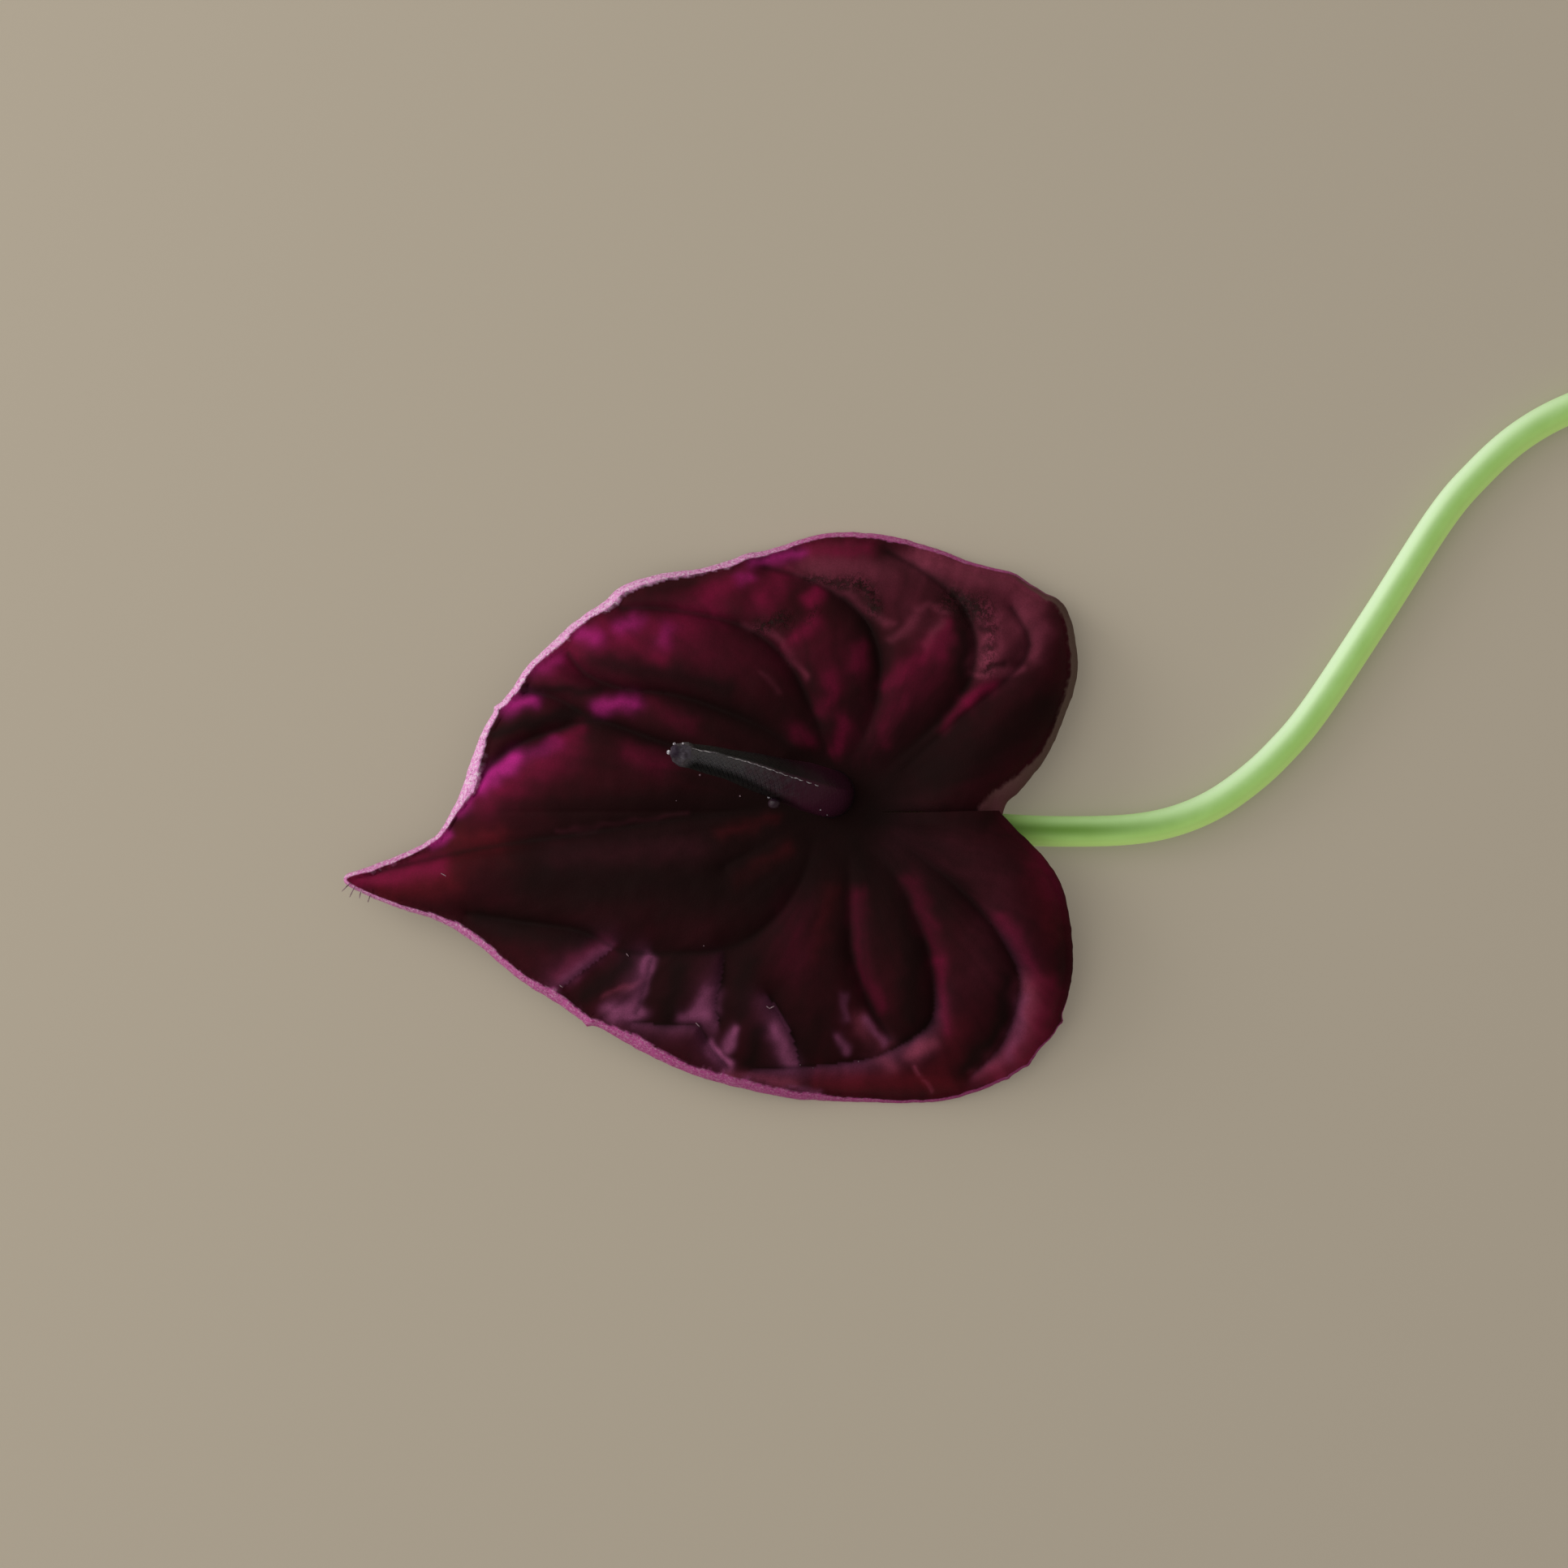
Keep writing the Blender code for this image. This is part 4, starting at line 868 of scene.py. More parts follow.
@dataclass
class Spathe:
    """The heart-shaped bract: quilted between sunken veins, with a rolled lip."""

    tables: SpatheTables = SpatheTables()
    finish: SpatheFinish = SpatheFinish()
    thickness: float = 0.9
    centre_height: float = 9.7
    swell: float = 6.75
    shoulder: Point3 = (0.8, 2.6, 0.6)
    margin_power: float = 2.4
    lip_rise: float = 0.9
    lip_foot: float = 0.6
    lip_between: float = 0.75
    lip_at_vein: float = 1.25
    lip_reach: float = 2.0
    pillow: Point2 = (0.4, 2.5)
    pillow_grows: Point2 = (0.1, 0.6)
    pillow_starts: Point2 = (3.0, 9.0)
    pillow_lip_reach: float = 1.4
    slit_start: float = 4.5
    slit_half_width: float = 0.035
    slit_open_by: float = 10.0
    lap_by: float = 18.0
    lobe_step: float = 0.8
    lobe_turns: Point2 = (7.0, 0.6)
    lobe_blend: float = 24.0
    seat: Point2 = (-3.4, 2.8)
    seat_radius: float = 4.3
    outline_step: float = 0.5
    vein_step: float = 2.1
    margin_step: float = 0.42
    field_step: float = 0.38
    back_step: float = 1.0
    raster_step: float = 0.3
    lip_rows: Numbers = (0.02, 0.09, 0.2, 0.34, 0.5, 0.68, 0.86, 1.0, 1.2)
    wrinkle: float = 0.26
    vein_rounding: float = 0.24
    # The painted sheen beside some veins: how far it reaches and where it grows outwards
    sheen_reach: float = 1.3
    sheen_rises: Point2 = (0.55, 0.85)
    ray_count: float = 15.0
    fibre: DriedFinish = DriedFinish()
    seat_blend: float = 2.2
    # Which side of a vein takes the painted sheen, and how much of it shows
    sheen_sides: Point2 = (-0.2, 0.8)
    sheen_share: float = 0.85
    # The slit's points: how an inset widens it, their spacing in margin steps, and their distance
    # from its two ends with what an inset adds
    slit_widens: float = 0.15
    slit_spacing: float = 1.5
    slit_inner: Point2 = (0.4, 0.2)
    slit_outer: Point2 = (0.5, 0.6)
    # How clear the field stays before the slit and beside it, and what its own clearance adds
    slit_clear: Point3 = (0.5, 0.45, 0.4)
    # An inset line gives way where it has less room than this share of its inset
    inset_tries: int = 12
    inset_room: float = 0.9
    inset_shrinks: float = 0.8
    row_room: float = 0.93
    row_gap: float = 0.25
    lip_fade: Point2 = (0.88, 1.12)
    strip_fade: Point2 = (0.86, 1.1)
    crease_width: float = 0.45
    wine_shares: Point3 = (0.08, 0.43, 0.3)
    # How much the painted shade takes from the wine and from the other tones
    painted_shade_takes: Point2 = (0.86, 0.7)
    ray_rings: Point2 = (1.6, 4.0)
    # The margin's nicks and burrs, and then the noise of the face
    rag: Layers = ((0.10, 1.6, 3.0), (0.07, 0.6, 5.0))
    burr: Point2 = (0.45, 0.55)
    rag_ends: int = 12
    waves: Layers = ((0.16, 4.0, 1.0), (0.07, 1.7, 2.0))
    ridges: Layers = ((2.0, 1.3, 4.0), (1.6, 0.6, 6.0))
    ragged_paint: Layers = ((0.16, 1.1, 8.0), (0.10, 0.5, 9.0))
    wavers: Layers = ((0.7, 2.2, 11.0), (0.7, 2.2, 12.0))
    ray_layers: Layers = ((0.55, 1.0, 21.0), (0.35, 0.45, 22.0))
    field_clear: float = 2.4
    gap_clear: float = 0.3
    face_floor: float = 0.25
    back_floor: float = 0.02
    back_inset: float = 0.75
    back_clear: float = 1.5
    # The rings of the rounded edge: their share of the way in plan, and of the way down
    edge_rings: Table = ((0.12, 0.45), (0.5, 0.9))
    edge_least: float = 0.12
    sharp: float = 60.0
    fibre_radius: float = 0.09
    fibre_clear: float = 0.15
    fibre_start: float = 0.05
    fibre_points: int = 9
    fibre_arch: float = 0.7
    fleck_rise: float = 0.3
    # Each fibre's start, end and rise, and then each fleck's place and size
    fibres: tuple[tuple[Point2, Point2, float], ...] = (
        ((-77.2, -10.9), (-78.6, -12.3), 0.25), ((-76.6, -11.5), (-77.4, -13.2), 0.2),
        ((-75.6, -12.0), (-75.9, -13.4), 0.15), ((-74.2, -12.8), (-74.6, -14.0), 0.2),
        ((-63.0, -9.4), (-61.3, -10.3), 0.1), ((-13.2, -29.6), (-12.6, -30.0), 0.2),
        ((-12.7, -30.0), (-12.0, -29.6), 0.2), ((-24.0, -32.3), (-23.4, -32.9), 0.3),
        ((-34.6, -21.6), (-34.2, -22.1), 0.25), ((-45.0, -26.6), (-44.4, -27.0), 0.3),
    )
    flecks: tuple[Point3, ...] = (
        (-23.3, 5.6, 0.16), (-17.2, 2.4, 0.13), (-26.9, 1.7, 0.08), (-22.7, -20.4, 0.08),
        (1.0, -38.5, 0.11), (-6.0, -39.5, 0.10), (-8.0, -39.0, 0.08),
    )

    def __post_init__(self) -> None:
        """Draw the margin and the veins once."""
        rough = smooth_route(self.tables.outline, self.outline_step)
        outward = beside_route(rough, np.full(len(rough), -1.0)) - rough
        rag = layered(rough, self.rag)
        height, reach = self.burr
        for burr in self.tables.burrs:
            rag += height * hump(np.hypot(*(rough - burr).T), reach)
        steps = np.arange(len(rough))
        rag *= smoothstep(np.minimum(steps, steps[::-1]), 0, self.rag_ends)
        self.edge = rough + outward * rag[:, None]
        self.margin = smooth_route(self.edge, self.margin_step)
        self.edge_radius, self.edge_angle = polar(self.edge)
        self.vein_lines = [smooth_route(vein.route, self.vein_step) for vein in self.tables.veins]

    def relief(self, points: np.ndarray, rounding: float = 0.0) -> tuple[np.ndarray, ...]:
        """Measure the pillows.

        Args:
            points: Places in plan.
            rounding: The radius of the veins' bottoms.

        Returns:
            The pillows' share of their full height, the distance to a vein, and how much painted
            sheen each point takes from a vein's side.
        """
        share = np.ones(len(points))
        near = np.full(len(points), np.inf)
        sheen = np.zeros(len(points))
        for vein, line in zip(self.tables.veins, self.vein_lines):
            distance, side = nearest_on_route(points, line)
            reach = vein.right + (vein.left - vein.right) * (0.5 + 0.5 * side)
            share *= 1.0 - vein.depth * np.exp(-(np.hypot(distance, rounding) - rounding) / reach)
            near = np.minimum(near, distance)
            lit = smoothstep(side * np.sign(vein.sheen), *self.sheen_sides) * abs(vein.sheen)
            sheen = np.maximum(sheen, lit * np.exp(-distance / self.sheen_reach))
        return share, near, sheen

    def bruised(self, points: np.ndarray) -> np.ndarray:
        """Give how far each point lies in a wrinkled bruise."""
        return np.clip(sum(streak.share(points) for streak in self.tables.bruises), 0.0, 1.0)

    def lip_width(self, angle: np.ndarray, near: np.ndarray) -> np.ndarray:
        """Give the rolled lip's width, wider where a vein runs into it.

        Args:
            angle: The angle of each point.
            near: Its distance to a vein.

        Returns:
            The width at each point.
        """
        part = np.exp(-near / self.lip_reach)
        widening = self.lip_between + (self.lip_at_vein - self.lip_between) * part
        return by_angle(self.tables.lip_widths, angle) * widening

    def surface(self, points: np.ndarray, fine: bool = True) -> dict[str, np.ndarray]:
        """Work out the middle of the blade over its flat plan.

        Args:
            points: Places in plan.
            fine: Whether ridges, wrinkles and unevenness are added.

        Returns:
            The height, and what the marks are made from.
        """
        radius, angle = polar(points)
        out = np.clip(radius / np.interp(angle, self.edge_angle, self.edge_radius), 0.0, 1.0)
        least, rise, spread = self.shoulder
        shoulder = least + rise * np.abs(np.sin(angle)) ** spread
        margin = by_angle(self.tables.margin_heights, angle) - self.centre_height
        base = self.swell * out * out * (1.0 - out) * shoulder + margin * out**self.margin_power
        share, near, sheen = self.relief(points, self.vein_rounding if fine else 0.0)
        rim = nearest_on_route(points, self.edge)[0]
        width = self.lip_width(angle, near)
        inside = np.maximum(rim - width, 0.0)
        growth = smoothstep(out, *self.pillow_grows)
        low, high = self.pillow
        pillow = (low + (high - low) * growth) * smoothstep(radius, *self.pillow_starts)
        clear = 1.0 - np.exp(-inside / self.pillow_lip_reach)
        field_height = pillow * share * clear
        roll = np.clip((width - rim) / width, 0.0, 1.0)
        crest = self.lip_rise * (1.0 - smoothstep(inside, 0.0, self.lip_foot))
        drop = width * (1.0 - np.sqrt(np.maximum(1.0 - roll * roll, 0.0)))
        if fine:
            field_height = field_height + self.unevenness(points, share, clear)
        seat = np.hypot(points[:, 0] - self.seat[0], points[:, 1] - self.seat[1])
        away = smoothstep(seat, self.seat_radius, self.seat_blend * self.seat_radius)
        height = self.centre_height + away * (base + field_height) + crest - drop
        height = height + self.step_between_lobes(radius, angle)
        found = {"height": height, "share": share, "near": near, "rim": rim, "width": width}
        sheen = sheen * smoothstep(out, *self.sheen_rises)
        return found | {"out": out, "angle": angle, "growth": growth, "sheen": sheen}

    def unevenness(self, points: np.ndarray, share: np.ndarray, clear: np.ndarray) -> np.ndarray:
        """Give the ridges, the bruises' wrinkles and slight waves, which the solid leaves out.

        Args:
            points: Places in plan.
            share: The pillows' share of their full height.
            clear: How clear each point is of the lip.

        Returns:
            The height that they add.
        """
        seen = self.lap(points)
        ridges = 1.0 - sum(np.abs(layered(points, [layer])) for layer in self.ridges)
        added = layered(points, self.waves) * (0.4 + 0.6 * share)
        added = added + self.wrinkle * ridges * self.bruised(seen)
        for streak in self.tables.streaks:
            if streak.rise:
                added = added + streak.rise * streak.share(seen)
        return added * clear

    def step_between_lobes(self, radius: np.ndarray, angle: np.ndarray) -> np.ndarray:
        """Part the two lobes in height where the lower one laps over the upper one.

        Args:
            radius: The distance of each point from the middle.
            angle: Its angle.

        Returns:
            What it adds to the height.
        """
        blend = math.radians(self.lobe_blend)
        opened = smoothstep(radius, self.slit_start, self.slit_open_by)
        return self.lobe_step * opened * (hump(math.tau - angle, blend) - hump(angle, blend))

    def lap(self, points: np.ndarray) -> np.ndarray:
        """Turn the lobes' inner margins towards each other so that they overlap.

        Args:
            points: Places in the flat plan.

        Returns:
            The same places as they are seen.
        """
        radius, angle = polar(points)
        blend = math.radians(self.lobe_blend) / 2.0
        upper, lower = (math.radians(turn) for turn in self.lobe_turns)
        turn = lower * hump(math.tau - angle, blend) - upper * hump(angle, blend)
        turned = angle + smoothstep(radius, self.slit_open_by, self.lap_by) * turn
        return np.column_stack([radius * np.cos(turned), radius * np.sin(turned)])

    def loop(self, inset: float) -> np.ndarray:
        """Draw the closed loop of margin and slit.

        Args:
            inset: How far inside the margin it runs, where there is room.

        Returns:
            The loop's points, as many for every inset.
        """
        widths = np.full(len(self.margin), inset)
        line = beside_route(self.margin, widths)
        for _ in range(self.inset_tries):
            tight = nearest_on_route(line, self.edge)[0] < self.inset_room * widths
            widths = np.where(tight, widths * self.inset_shrinks, widths)
            line = beside_route(self.margin, widths)
        half = self.slit_half_width + self.slit_widens * inset
        count = round((self.margin[0][0] - self.slit_start) / (self.margin_step * self.slit_spacing))
        inner, outer = (gap + inset * more for gap, more in (self.slit_inner, self.slit_outer))
        along = np.linspace(self.slit_start + inner, self.margin[0][0] - outer, count)
        lower = np.column_stack([along[::-1], np.full(count, -half)])
        upper = np.column_stack([along, np.full(count, half)])
        end = np.array([[self.slit_start - self.slit_inner[1] * inset, 0.0]])
        return np.vstack([line, lower, end, upper])

    def inside(self, points: np.ndarray, clearance: float) -> np.ndarray:
        """Tell which points are inside the margin and clear of it and of the slit.

        Args:
            points: Places in plan.
            clearance: How far they have to be from the margin.

        Returns:
            Whether each is.
        """
        radius, angle = polar(points)
        reach = np.interp(angle, self.edge_angle, self.edge_radius)
        before, beside, more = self.slit_clear
        slit = np.abs(points[:, 1]) < beside + clearance * more
        slit &= points[:, 0] > self.slit_start - before
        kept = (radius < reach) & ~slit
        kept[kept] = nearest_on_route(points[kept], self.edge)[0] > clearance
        return kept

    def sown(self, step: float, clearance: float) -> np.ndarray:
        """Sow a staggered field of points over the blade.

        Args:
            step: Their spacing.
            clearance: How far they stay from the margin.

        Returns:
            The points.
        """
        low, high = self.margin.min(axis=0), self.margin.max(axis=0)
        rows = []
        for index, row in enumerate(np.arange(low[1], high[1], step * math.sqrt(0.75))):
            columns = np.arange(low[0] + (step / 2 if index % 2 else 0.0), high[0], step)
            rows.append(np.column_stack([columns, np.full(len(columns), row)]))
        points = np.vstack(rows)
        return points[self.inside(points, clearance)]

    def lip_lines(self) -> np.ndarray:
        """Sow points in rows along the rolled lip.

        Returns:
            The points.
        """
        _, angle = polar(self.margin)
        width = self.lip_width(angle, self.relief(self.margin)[1])
        rows = []
        for part in self.lip_rows:
            line = beside_route(self.margin, width * part)
            rows.append(line[nearest_on_route(line, self.edge)[0] > self.row_room * width * part])
        return np.vstack(rows)

    def sheet(self, loop: np.ndarray, sown: np.ndarray) -> tuple[np.ndarray, list[tuple[int, ...]]]:
        """Triangulate a plan.

        Args:
            loop: Its boundary.
            sown: The points inside it.

        Returns:
            The corners, with the loop's first, and the triangles, seen from above.
        """
        corners = [Vector(point) for point in np.vstack([loop, sown])]
        ring = list(range(len(loop)))
        edges = [(index, (index + 1) % len(ring)) for index in ring]
        plan = geometry.delaunay_2d_cdt(corners, edges, [ring], 1, 1e-5)
        return np.array([tuple(corner) for corner in plan[0]]), [tuple(face) for face in plan[2]]

    def back_height(self, points: np.ndarray) -> np.ndarray:
        """Find the blade's back: as far from the face as the blade is thick, everywhere.

        Args:
            points: Places in plan.

        Returns:
            The back's height at each.
        """
        step = self.raster_step
        low, high = self.margin.min(axis=0) - 2.0, self.margin.max(axis=0) + 2.0
        columns, rows = np.arange(low[0], high[0], step), np.arange(low[1], high[1], step)
        cells = np.stack(np.meshgrid(columns, rows, indexing="ij"), axis=-1).reshape(-1, 2)
        radius, angle = polar(cells)
        kept = radius < np.interp(angle, self.edge_angle, self.edge_radius)
        face = np.full(len(cells), np.inf)
        face[kept] = self.surface(cells[kept], fine=False)["height"] + self.thickness / 2
        found = np.zeros(len(points))
        for side in (1.0, -1.0):
            other = (cells[:, 0] > self.slit_start) & (cells[:, 1] * side < 0)
            half = np.where(other, np.inf, face).reshape(len(columns), len(rows))
            back = self.eroded(half)
            mine = points[:, 1] * side >= 0
            across = np.clip(np.rint((points[mine] - low) / step).astype(int), 0, np.array(back.shape) - 1)
            found[mine] = back[across[:, 0], across[:, 1]]
        return found

    def eroded(self, face: np.ndarray) -> np.ndarray:
        """Take the surface that a ball of the blade's thickness leaves under a face.

        Args:
            face: The face's heights on the raster.

        Returns:
            The back's heights on it.
        """
        reach = int(self.thickness / self.raster_step)
        back = np.full(face.shape, np.inf)
        for across in range(-reach, reach + 1):
            for up in range(-reach, reach + 1):
                room = self.thickness**2 - (across**2 + up**2) * self.raster_step**2
                if room >= 0:
                    back = np.minimum(back, np.roll(face, (across, up), (0, 1)) - math.sqrt(room))
        smooth = sum(np.roll(back, shift, axis) for shift in (-1, 1) for axis in (0, 1)) / 4
        return np.where(np.isfinite(smooth), (back + smooth) / 2, back)

    def marks(self, flat: np.ndarray, found: Mapping[str, np.ndarray]) -> dict[str, np.ndarray]:
        """Work out the marks that the finish reads.

        Args:
            flat: The corners in plan.
            found: What surface() gives for them.

        Returns:
            Each mark's values.
        """
        angle = found["angle"]
        ragged = 1.0 + layered(flat, self.ragged_paint)
        painted = np.maximum(found["width"] * by_angle(self.tables.lip_paint, angle) * ragged, 1e-3)
        lip = 1.0 - smoothstep(found["rim"] / painted, *self.lip_fade)
        strip_width = by_angle(self.tables.strip_widths, angle) * ragged
        strip = 1.0 - smoothstep(found["rim"] / strip_width, *self.strip_fade)
        # Painted shade along the veins' creases, where the pillows have grown
        crease = hump(found["near"], self.crease_width) * found["growth"]
        seen = self.lap(flat) + np.column_stack([layered(flat, [waver]) for waver in self.wavers])
        tones = {tone: np.zeros(len(flat)) for tone in Tone}
        tones[Tone.LILAC] = self.sheen_share * found["sheen"]
        for streak in self.tables.streaks:
            tones[streak.tone] = 1.0 - (1.0 - tones[streak.tone]) * (1.0 - streak.share(seen))
        # The darkest streaks are painted shade, taken from the wine and the other tones
        night = tones.pop(Tone.NIGHT)
        # Less wine in the veins' hollows and the middle, where the face lies in shade: partly painted shade
        least, on_pillows, outward = self.wine_shares
        wine = least + on_pillows * found["growth"] * found["share"] + outward * found["out"] ** 2
        from_wine, from_tones = self.painted_shade_takes
        marks = {tone.value: share * (1.0 - from_tones * night) for tone, share in tones.items()}
        return marks | {
            "lip": lip, "wine": wine * (1.0 - from_wine * night), "crease": crease,
            "bruise": self.bruised(seen), "strip": strip * by_angle(self.tables.strip_share, angle),
            "strip_brown": by_angle(self.tables.strip_brown, angle), "rays": self.rays(seen),
            "lip_bright": by_angle(self.tables.lip_painted_light_by_angle, angle),
            "lip_violet": by_angle(self.tables.lip_violet, angle),
        }

    def rays(self, seen: np.ndarray) -> np.ndarray:
        """Give fine uneven rays that fan out from the middle, from 0 to 1.

        Args:
            seen: Places as they are seen.

        Returns:
            The rays at each.
        """
        radius, angle = polar(seen)
        rings, core = self.ray_rings
        fan = np.column_stack([angle * self.ray_count, rings * np.log(radius + core)])
        return np.clip(0.5 + layered(fan, self.ray_layers), 0.0, 1.0)

    def build(self) -> bpy.types.Object:
        """Make the face, the back and the edge between them as one closed mesh.

        Returns:
            The spathe.
        """
        made = Mesh()
        loop = self.loop(0.0)
        sown = [self.lip_lines(), self.sown(self.field_step, self.field_clear), self.between_rows()]
        flat, faces = self.sheet(loop, np.vstack(sown))
        found = self.surface(flat)
        top = np.maximum(found["height"] + self.thickness / 2, self.face_floor)
        marks = self.marks(flat, found)
        made.add(np.column_stack([self.lap(flat), top]), faces, marks)
        under_loop = self.loop(self.back_inset)
        under, under_faces = self.sheet(under_loop, self.sown(self.back_step, self.back_clear))
        low, count, margin = self.back_height(under), len(loop), len(self.margin)
        low[:count] = np.minimum(low[:count], top[:count] - self.edge_least)
        low[margin:count] = top[margin:count] - self.thickness
        low = np.maximum(low, self.back_floor)
        ribs = hump(self.surface(under, fine=False)["near"], self.thickness)
        turned = [face[::-1] for face in under_faces]
        first = made.add(np.column_stack([self.lap(under), low]), turned, {"back": 1.0, "crease": ribs})
        self.close_edge(made, loop, under_loop, top[:count], low[:count], first, marks)
        return made.piece("spathe_blade", self.finish.material(), self.sharp)

    def between_rows(self) -> np.ndarray:
        """Sow the strip between the lip's rows and the field.

        Returns:
            The points.
        """
        points = self.sown(self.field_step, self.gap_clear)
        distance = nearest_on_route(points, self.edge)[0]
        _, angle = polar(points)
        width = self.lip_width(angle, self.relief(points)[1])
        past_rows = distance > width * self.lip_rows[-1] + self.row_gap
        return points[past_rows & (distance <= self.field_clear)]

    def close_edge(
        self, made: Mesh, loop: np.ndarray, under: np.ndarray, top: np.ndarray, low: np.ndarray,
        first: int, marks: Mapping[str, np.ndarray],
    ) -> None:
        """Join face and back by a rounded edge.

        Args:
            made: The mesh so far.
            loop: The face's boundary in plan.
            under: The back's boundary in plan.
            top: The heights of the first.
            low: The heights of the second.
            first: The number of the back's first corner.
            marks: The face's marks.
        """
        rings = [0]
        edge_marks = {name: values[:len(loop)] for name, values in marks.items()}
        for part, sag in self.edge_rings:
            flat = loop + (under - loop) * part
            height = top + (low - top) * sag
            rings.append(made.add(np.column_stack([self.lap(flat), height]), [], edge_marks))
        made.join([*rings, first], len(loop), turned=True)

    def face_height(self, flat: np.ndarray) -> np.ndarray:
        """Give the height of the blade's face."""
        return self.surface(flat)["height"] + self.thickness / 2

    def loose_fibres(self) -> bpy.types.Object:
        """Make the pale dried fibres that stand off the tip and the sliver beside it.

        Returns:
            The fibres, as one piece.
        """
        made = Mesh()
        for start, end, rise in self.fibres:
            part = np.linspace(0.0, 1.0, self.fibre_points)[:, None]
            flat = np.array(start) + (np.array(end) - start) * part
            low = float(self.face_height(np.array([start]))[0]) + self.fibre_start
            height = low + rise * np.sin(part[:, 0] * math.pi * self.fibre_arch)
            add_tube(made, np.column_stack([flat, np.maximum(height, self.fibre_clear)]), self.fibre_radius)
        for place in self.flecks:
            flat = np.array([place[:2]])
            height = float(self.face_height(flat)[0]) + self.fleck_rise * place[2]
            add_bead(made, np.array([*place[:2], height]), place[2])
        return made.piece("spathe_fibres", self.fibre.material())

    def dress(self) -> None:
        """Build the blade in place of its solid, with its loose fibres."""
        for piece in (self.build(), self.loose_fibres()):
            wear(piece, "spathe")


def add_tube(made: Mesh, line: np.ndarray, radius: float, sides: int = 6) -> None:
    """Add a thin tube that tapers to both ends.

    Args:
        made: The mesh so far.
        line: The points along its middle.
        radius: Its greatest radius.
        sides: How many corners it has round it.
    """
    along = unit(np.gradient(line, axis=0))
    across = unit(np.cross(along, (0.0, 0.0, 1.0)))
    up = np.cross(across, along)
    turns = even_turns(sides)
    reach = radius * np.sqrt(np.sin(np.linspace(BLUNT_END, math.pi - BLUNT_END, len(line))))
    rays = np.cos(turns)[None, :, None] * across[:, None] + np.sin(turns)[None, :, None] * up[:, None]
    rings = line[:, None] + rays * reach[:, None, None]
    ends = [tuple(range(sides))[::-1], tuple(range((len(line) - 1) * sides, len(line) * sides))]
    first = made.add(rings.reshape(-1, 3), ends, {})
    made.join(range(first, first + len(line) * sides, sides), sides)


def add_bead(
    made: Mesh, place: np.ndarray, size: float, clear: float = 0.0, rows: int = 8, columns: int = 14
) -> None:
    """Add a slightly uneven bead.

    Args:
        made: The mesh so far.
        place: Its middle.
        size: Its radius.
        clear: How clear it is.
        rows: Its steps from top to bottom.
        columns: Its steps round.
    """
    tilts = np.linspace(0.0, math.pi, rows + 1)[1:-1]
    tilt, turn = np.meshgrid(tilts, even_turns(columns), indexing="ij")
    rays = np.stack([np.sin(tilt) * np.cos(turn), np.sin(tilt) * np.sin(turn), np.cos(tilt)], -1)
    rays = np.vstack([rays.reshape(-1, 3), (0.0, 0.0, 1.0), (0.0, 0.0, -1.0)])
    uneven = 1.0 + layered(rays + place, BEAD_LUMPS)
    first = made.add(place + rays * (size * uneven)[:, None], [], {"clear": clear})
    rings = range(first, made.count - 2, columns)
    made.join(rings, columns, turned=True)
    made.cap(rings[0], columns, made.count - 2)
    made.cap(rings[-1], columns, made.count - 1, turned=True)


@dataclass(frozen=True)
class SpadixFinish:
    """Waxy slate that turns purple towards the base, with a pale broken tip."""

    slate: Colour = (0.0900, 0.0880, 0.1050)
    purple: Colour = (0.0640, 0.0130, 0.0340)
    shade: Colour = (0.0030, 0.0032, 0.0030)
    pit: Colour = (0.0050, 0.0040, 0.0050)
    pale: Colour = (0.038, 0.025, 0.044)
    mottle: Numbers = (1.1, 3.0, 0.6)
    fine: Numbers = (0.25, 2.0, 0.6)
    slate_rise: Point2 = (0.30, 0.85)
    roughness: float = 0.36
    specular: float = 0.12
    coat_roughness: float = 0.22
    bump_depth: float = 0.05

    def material(self) -> bpy.types.Material:
        """Blend from purple to slate along the spike, with painted shade on its sides, its foot and its
        pits.

        Returns:
            The spadix's material.
        """
        made = NodeFinish("spadix_slate")
        place = made.places()
        mottle = made.noise(place, *self.mottle)
        fine = made.noise(place, *self.fine)
        outward = made.mark("along") + (mottle - 0.5) * 0.5
        colour = made.mix(self.purple, self.slate, outward.rise(*self.slate_rise))
        colour = made.mix(colour, self.shade, made.mark("shade"))
        # Painted shade in the pits and between the florets, more on the low side
        colour = made.mix(colour, self.pit, (made.mark("pit") * 0.8).held())
        colour = made.mix(colour, self.pale, (made.mark("pale") * (0.5 + mottle * 0.9)).held())
        roughness = self.roughness + (mottle - 0.5) * 0.3 + made.mark("pit") * 0.1
        return made.dress(
            Base_Color=colour, Roughness=roughness, Specular_IOR_Level=self.specular,
            Coat_Weight=made.mark("gloss") * 0.5, Coat_Roughness=self.coat_roughness,
            Normal=made.bump(fine * 0.6 + mottle * 0.4, self.bump_depth),
        )


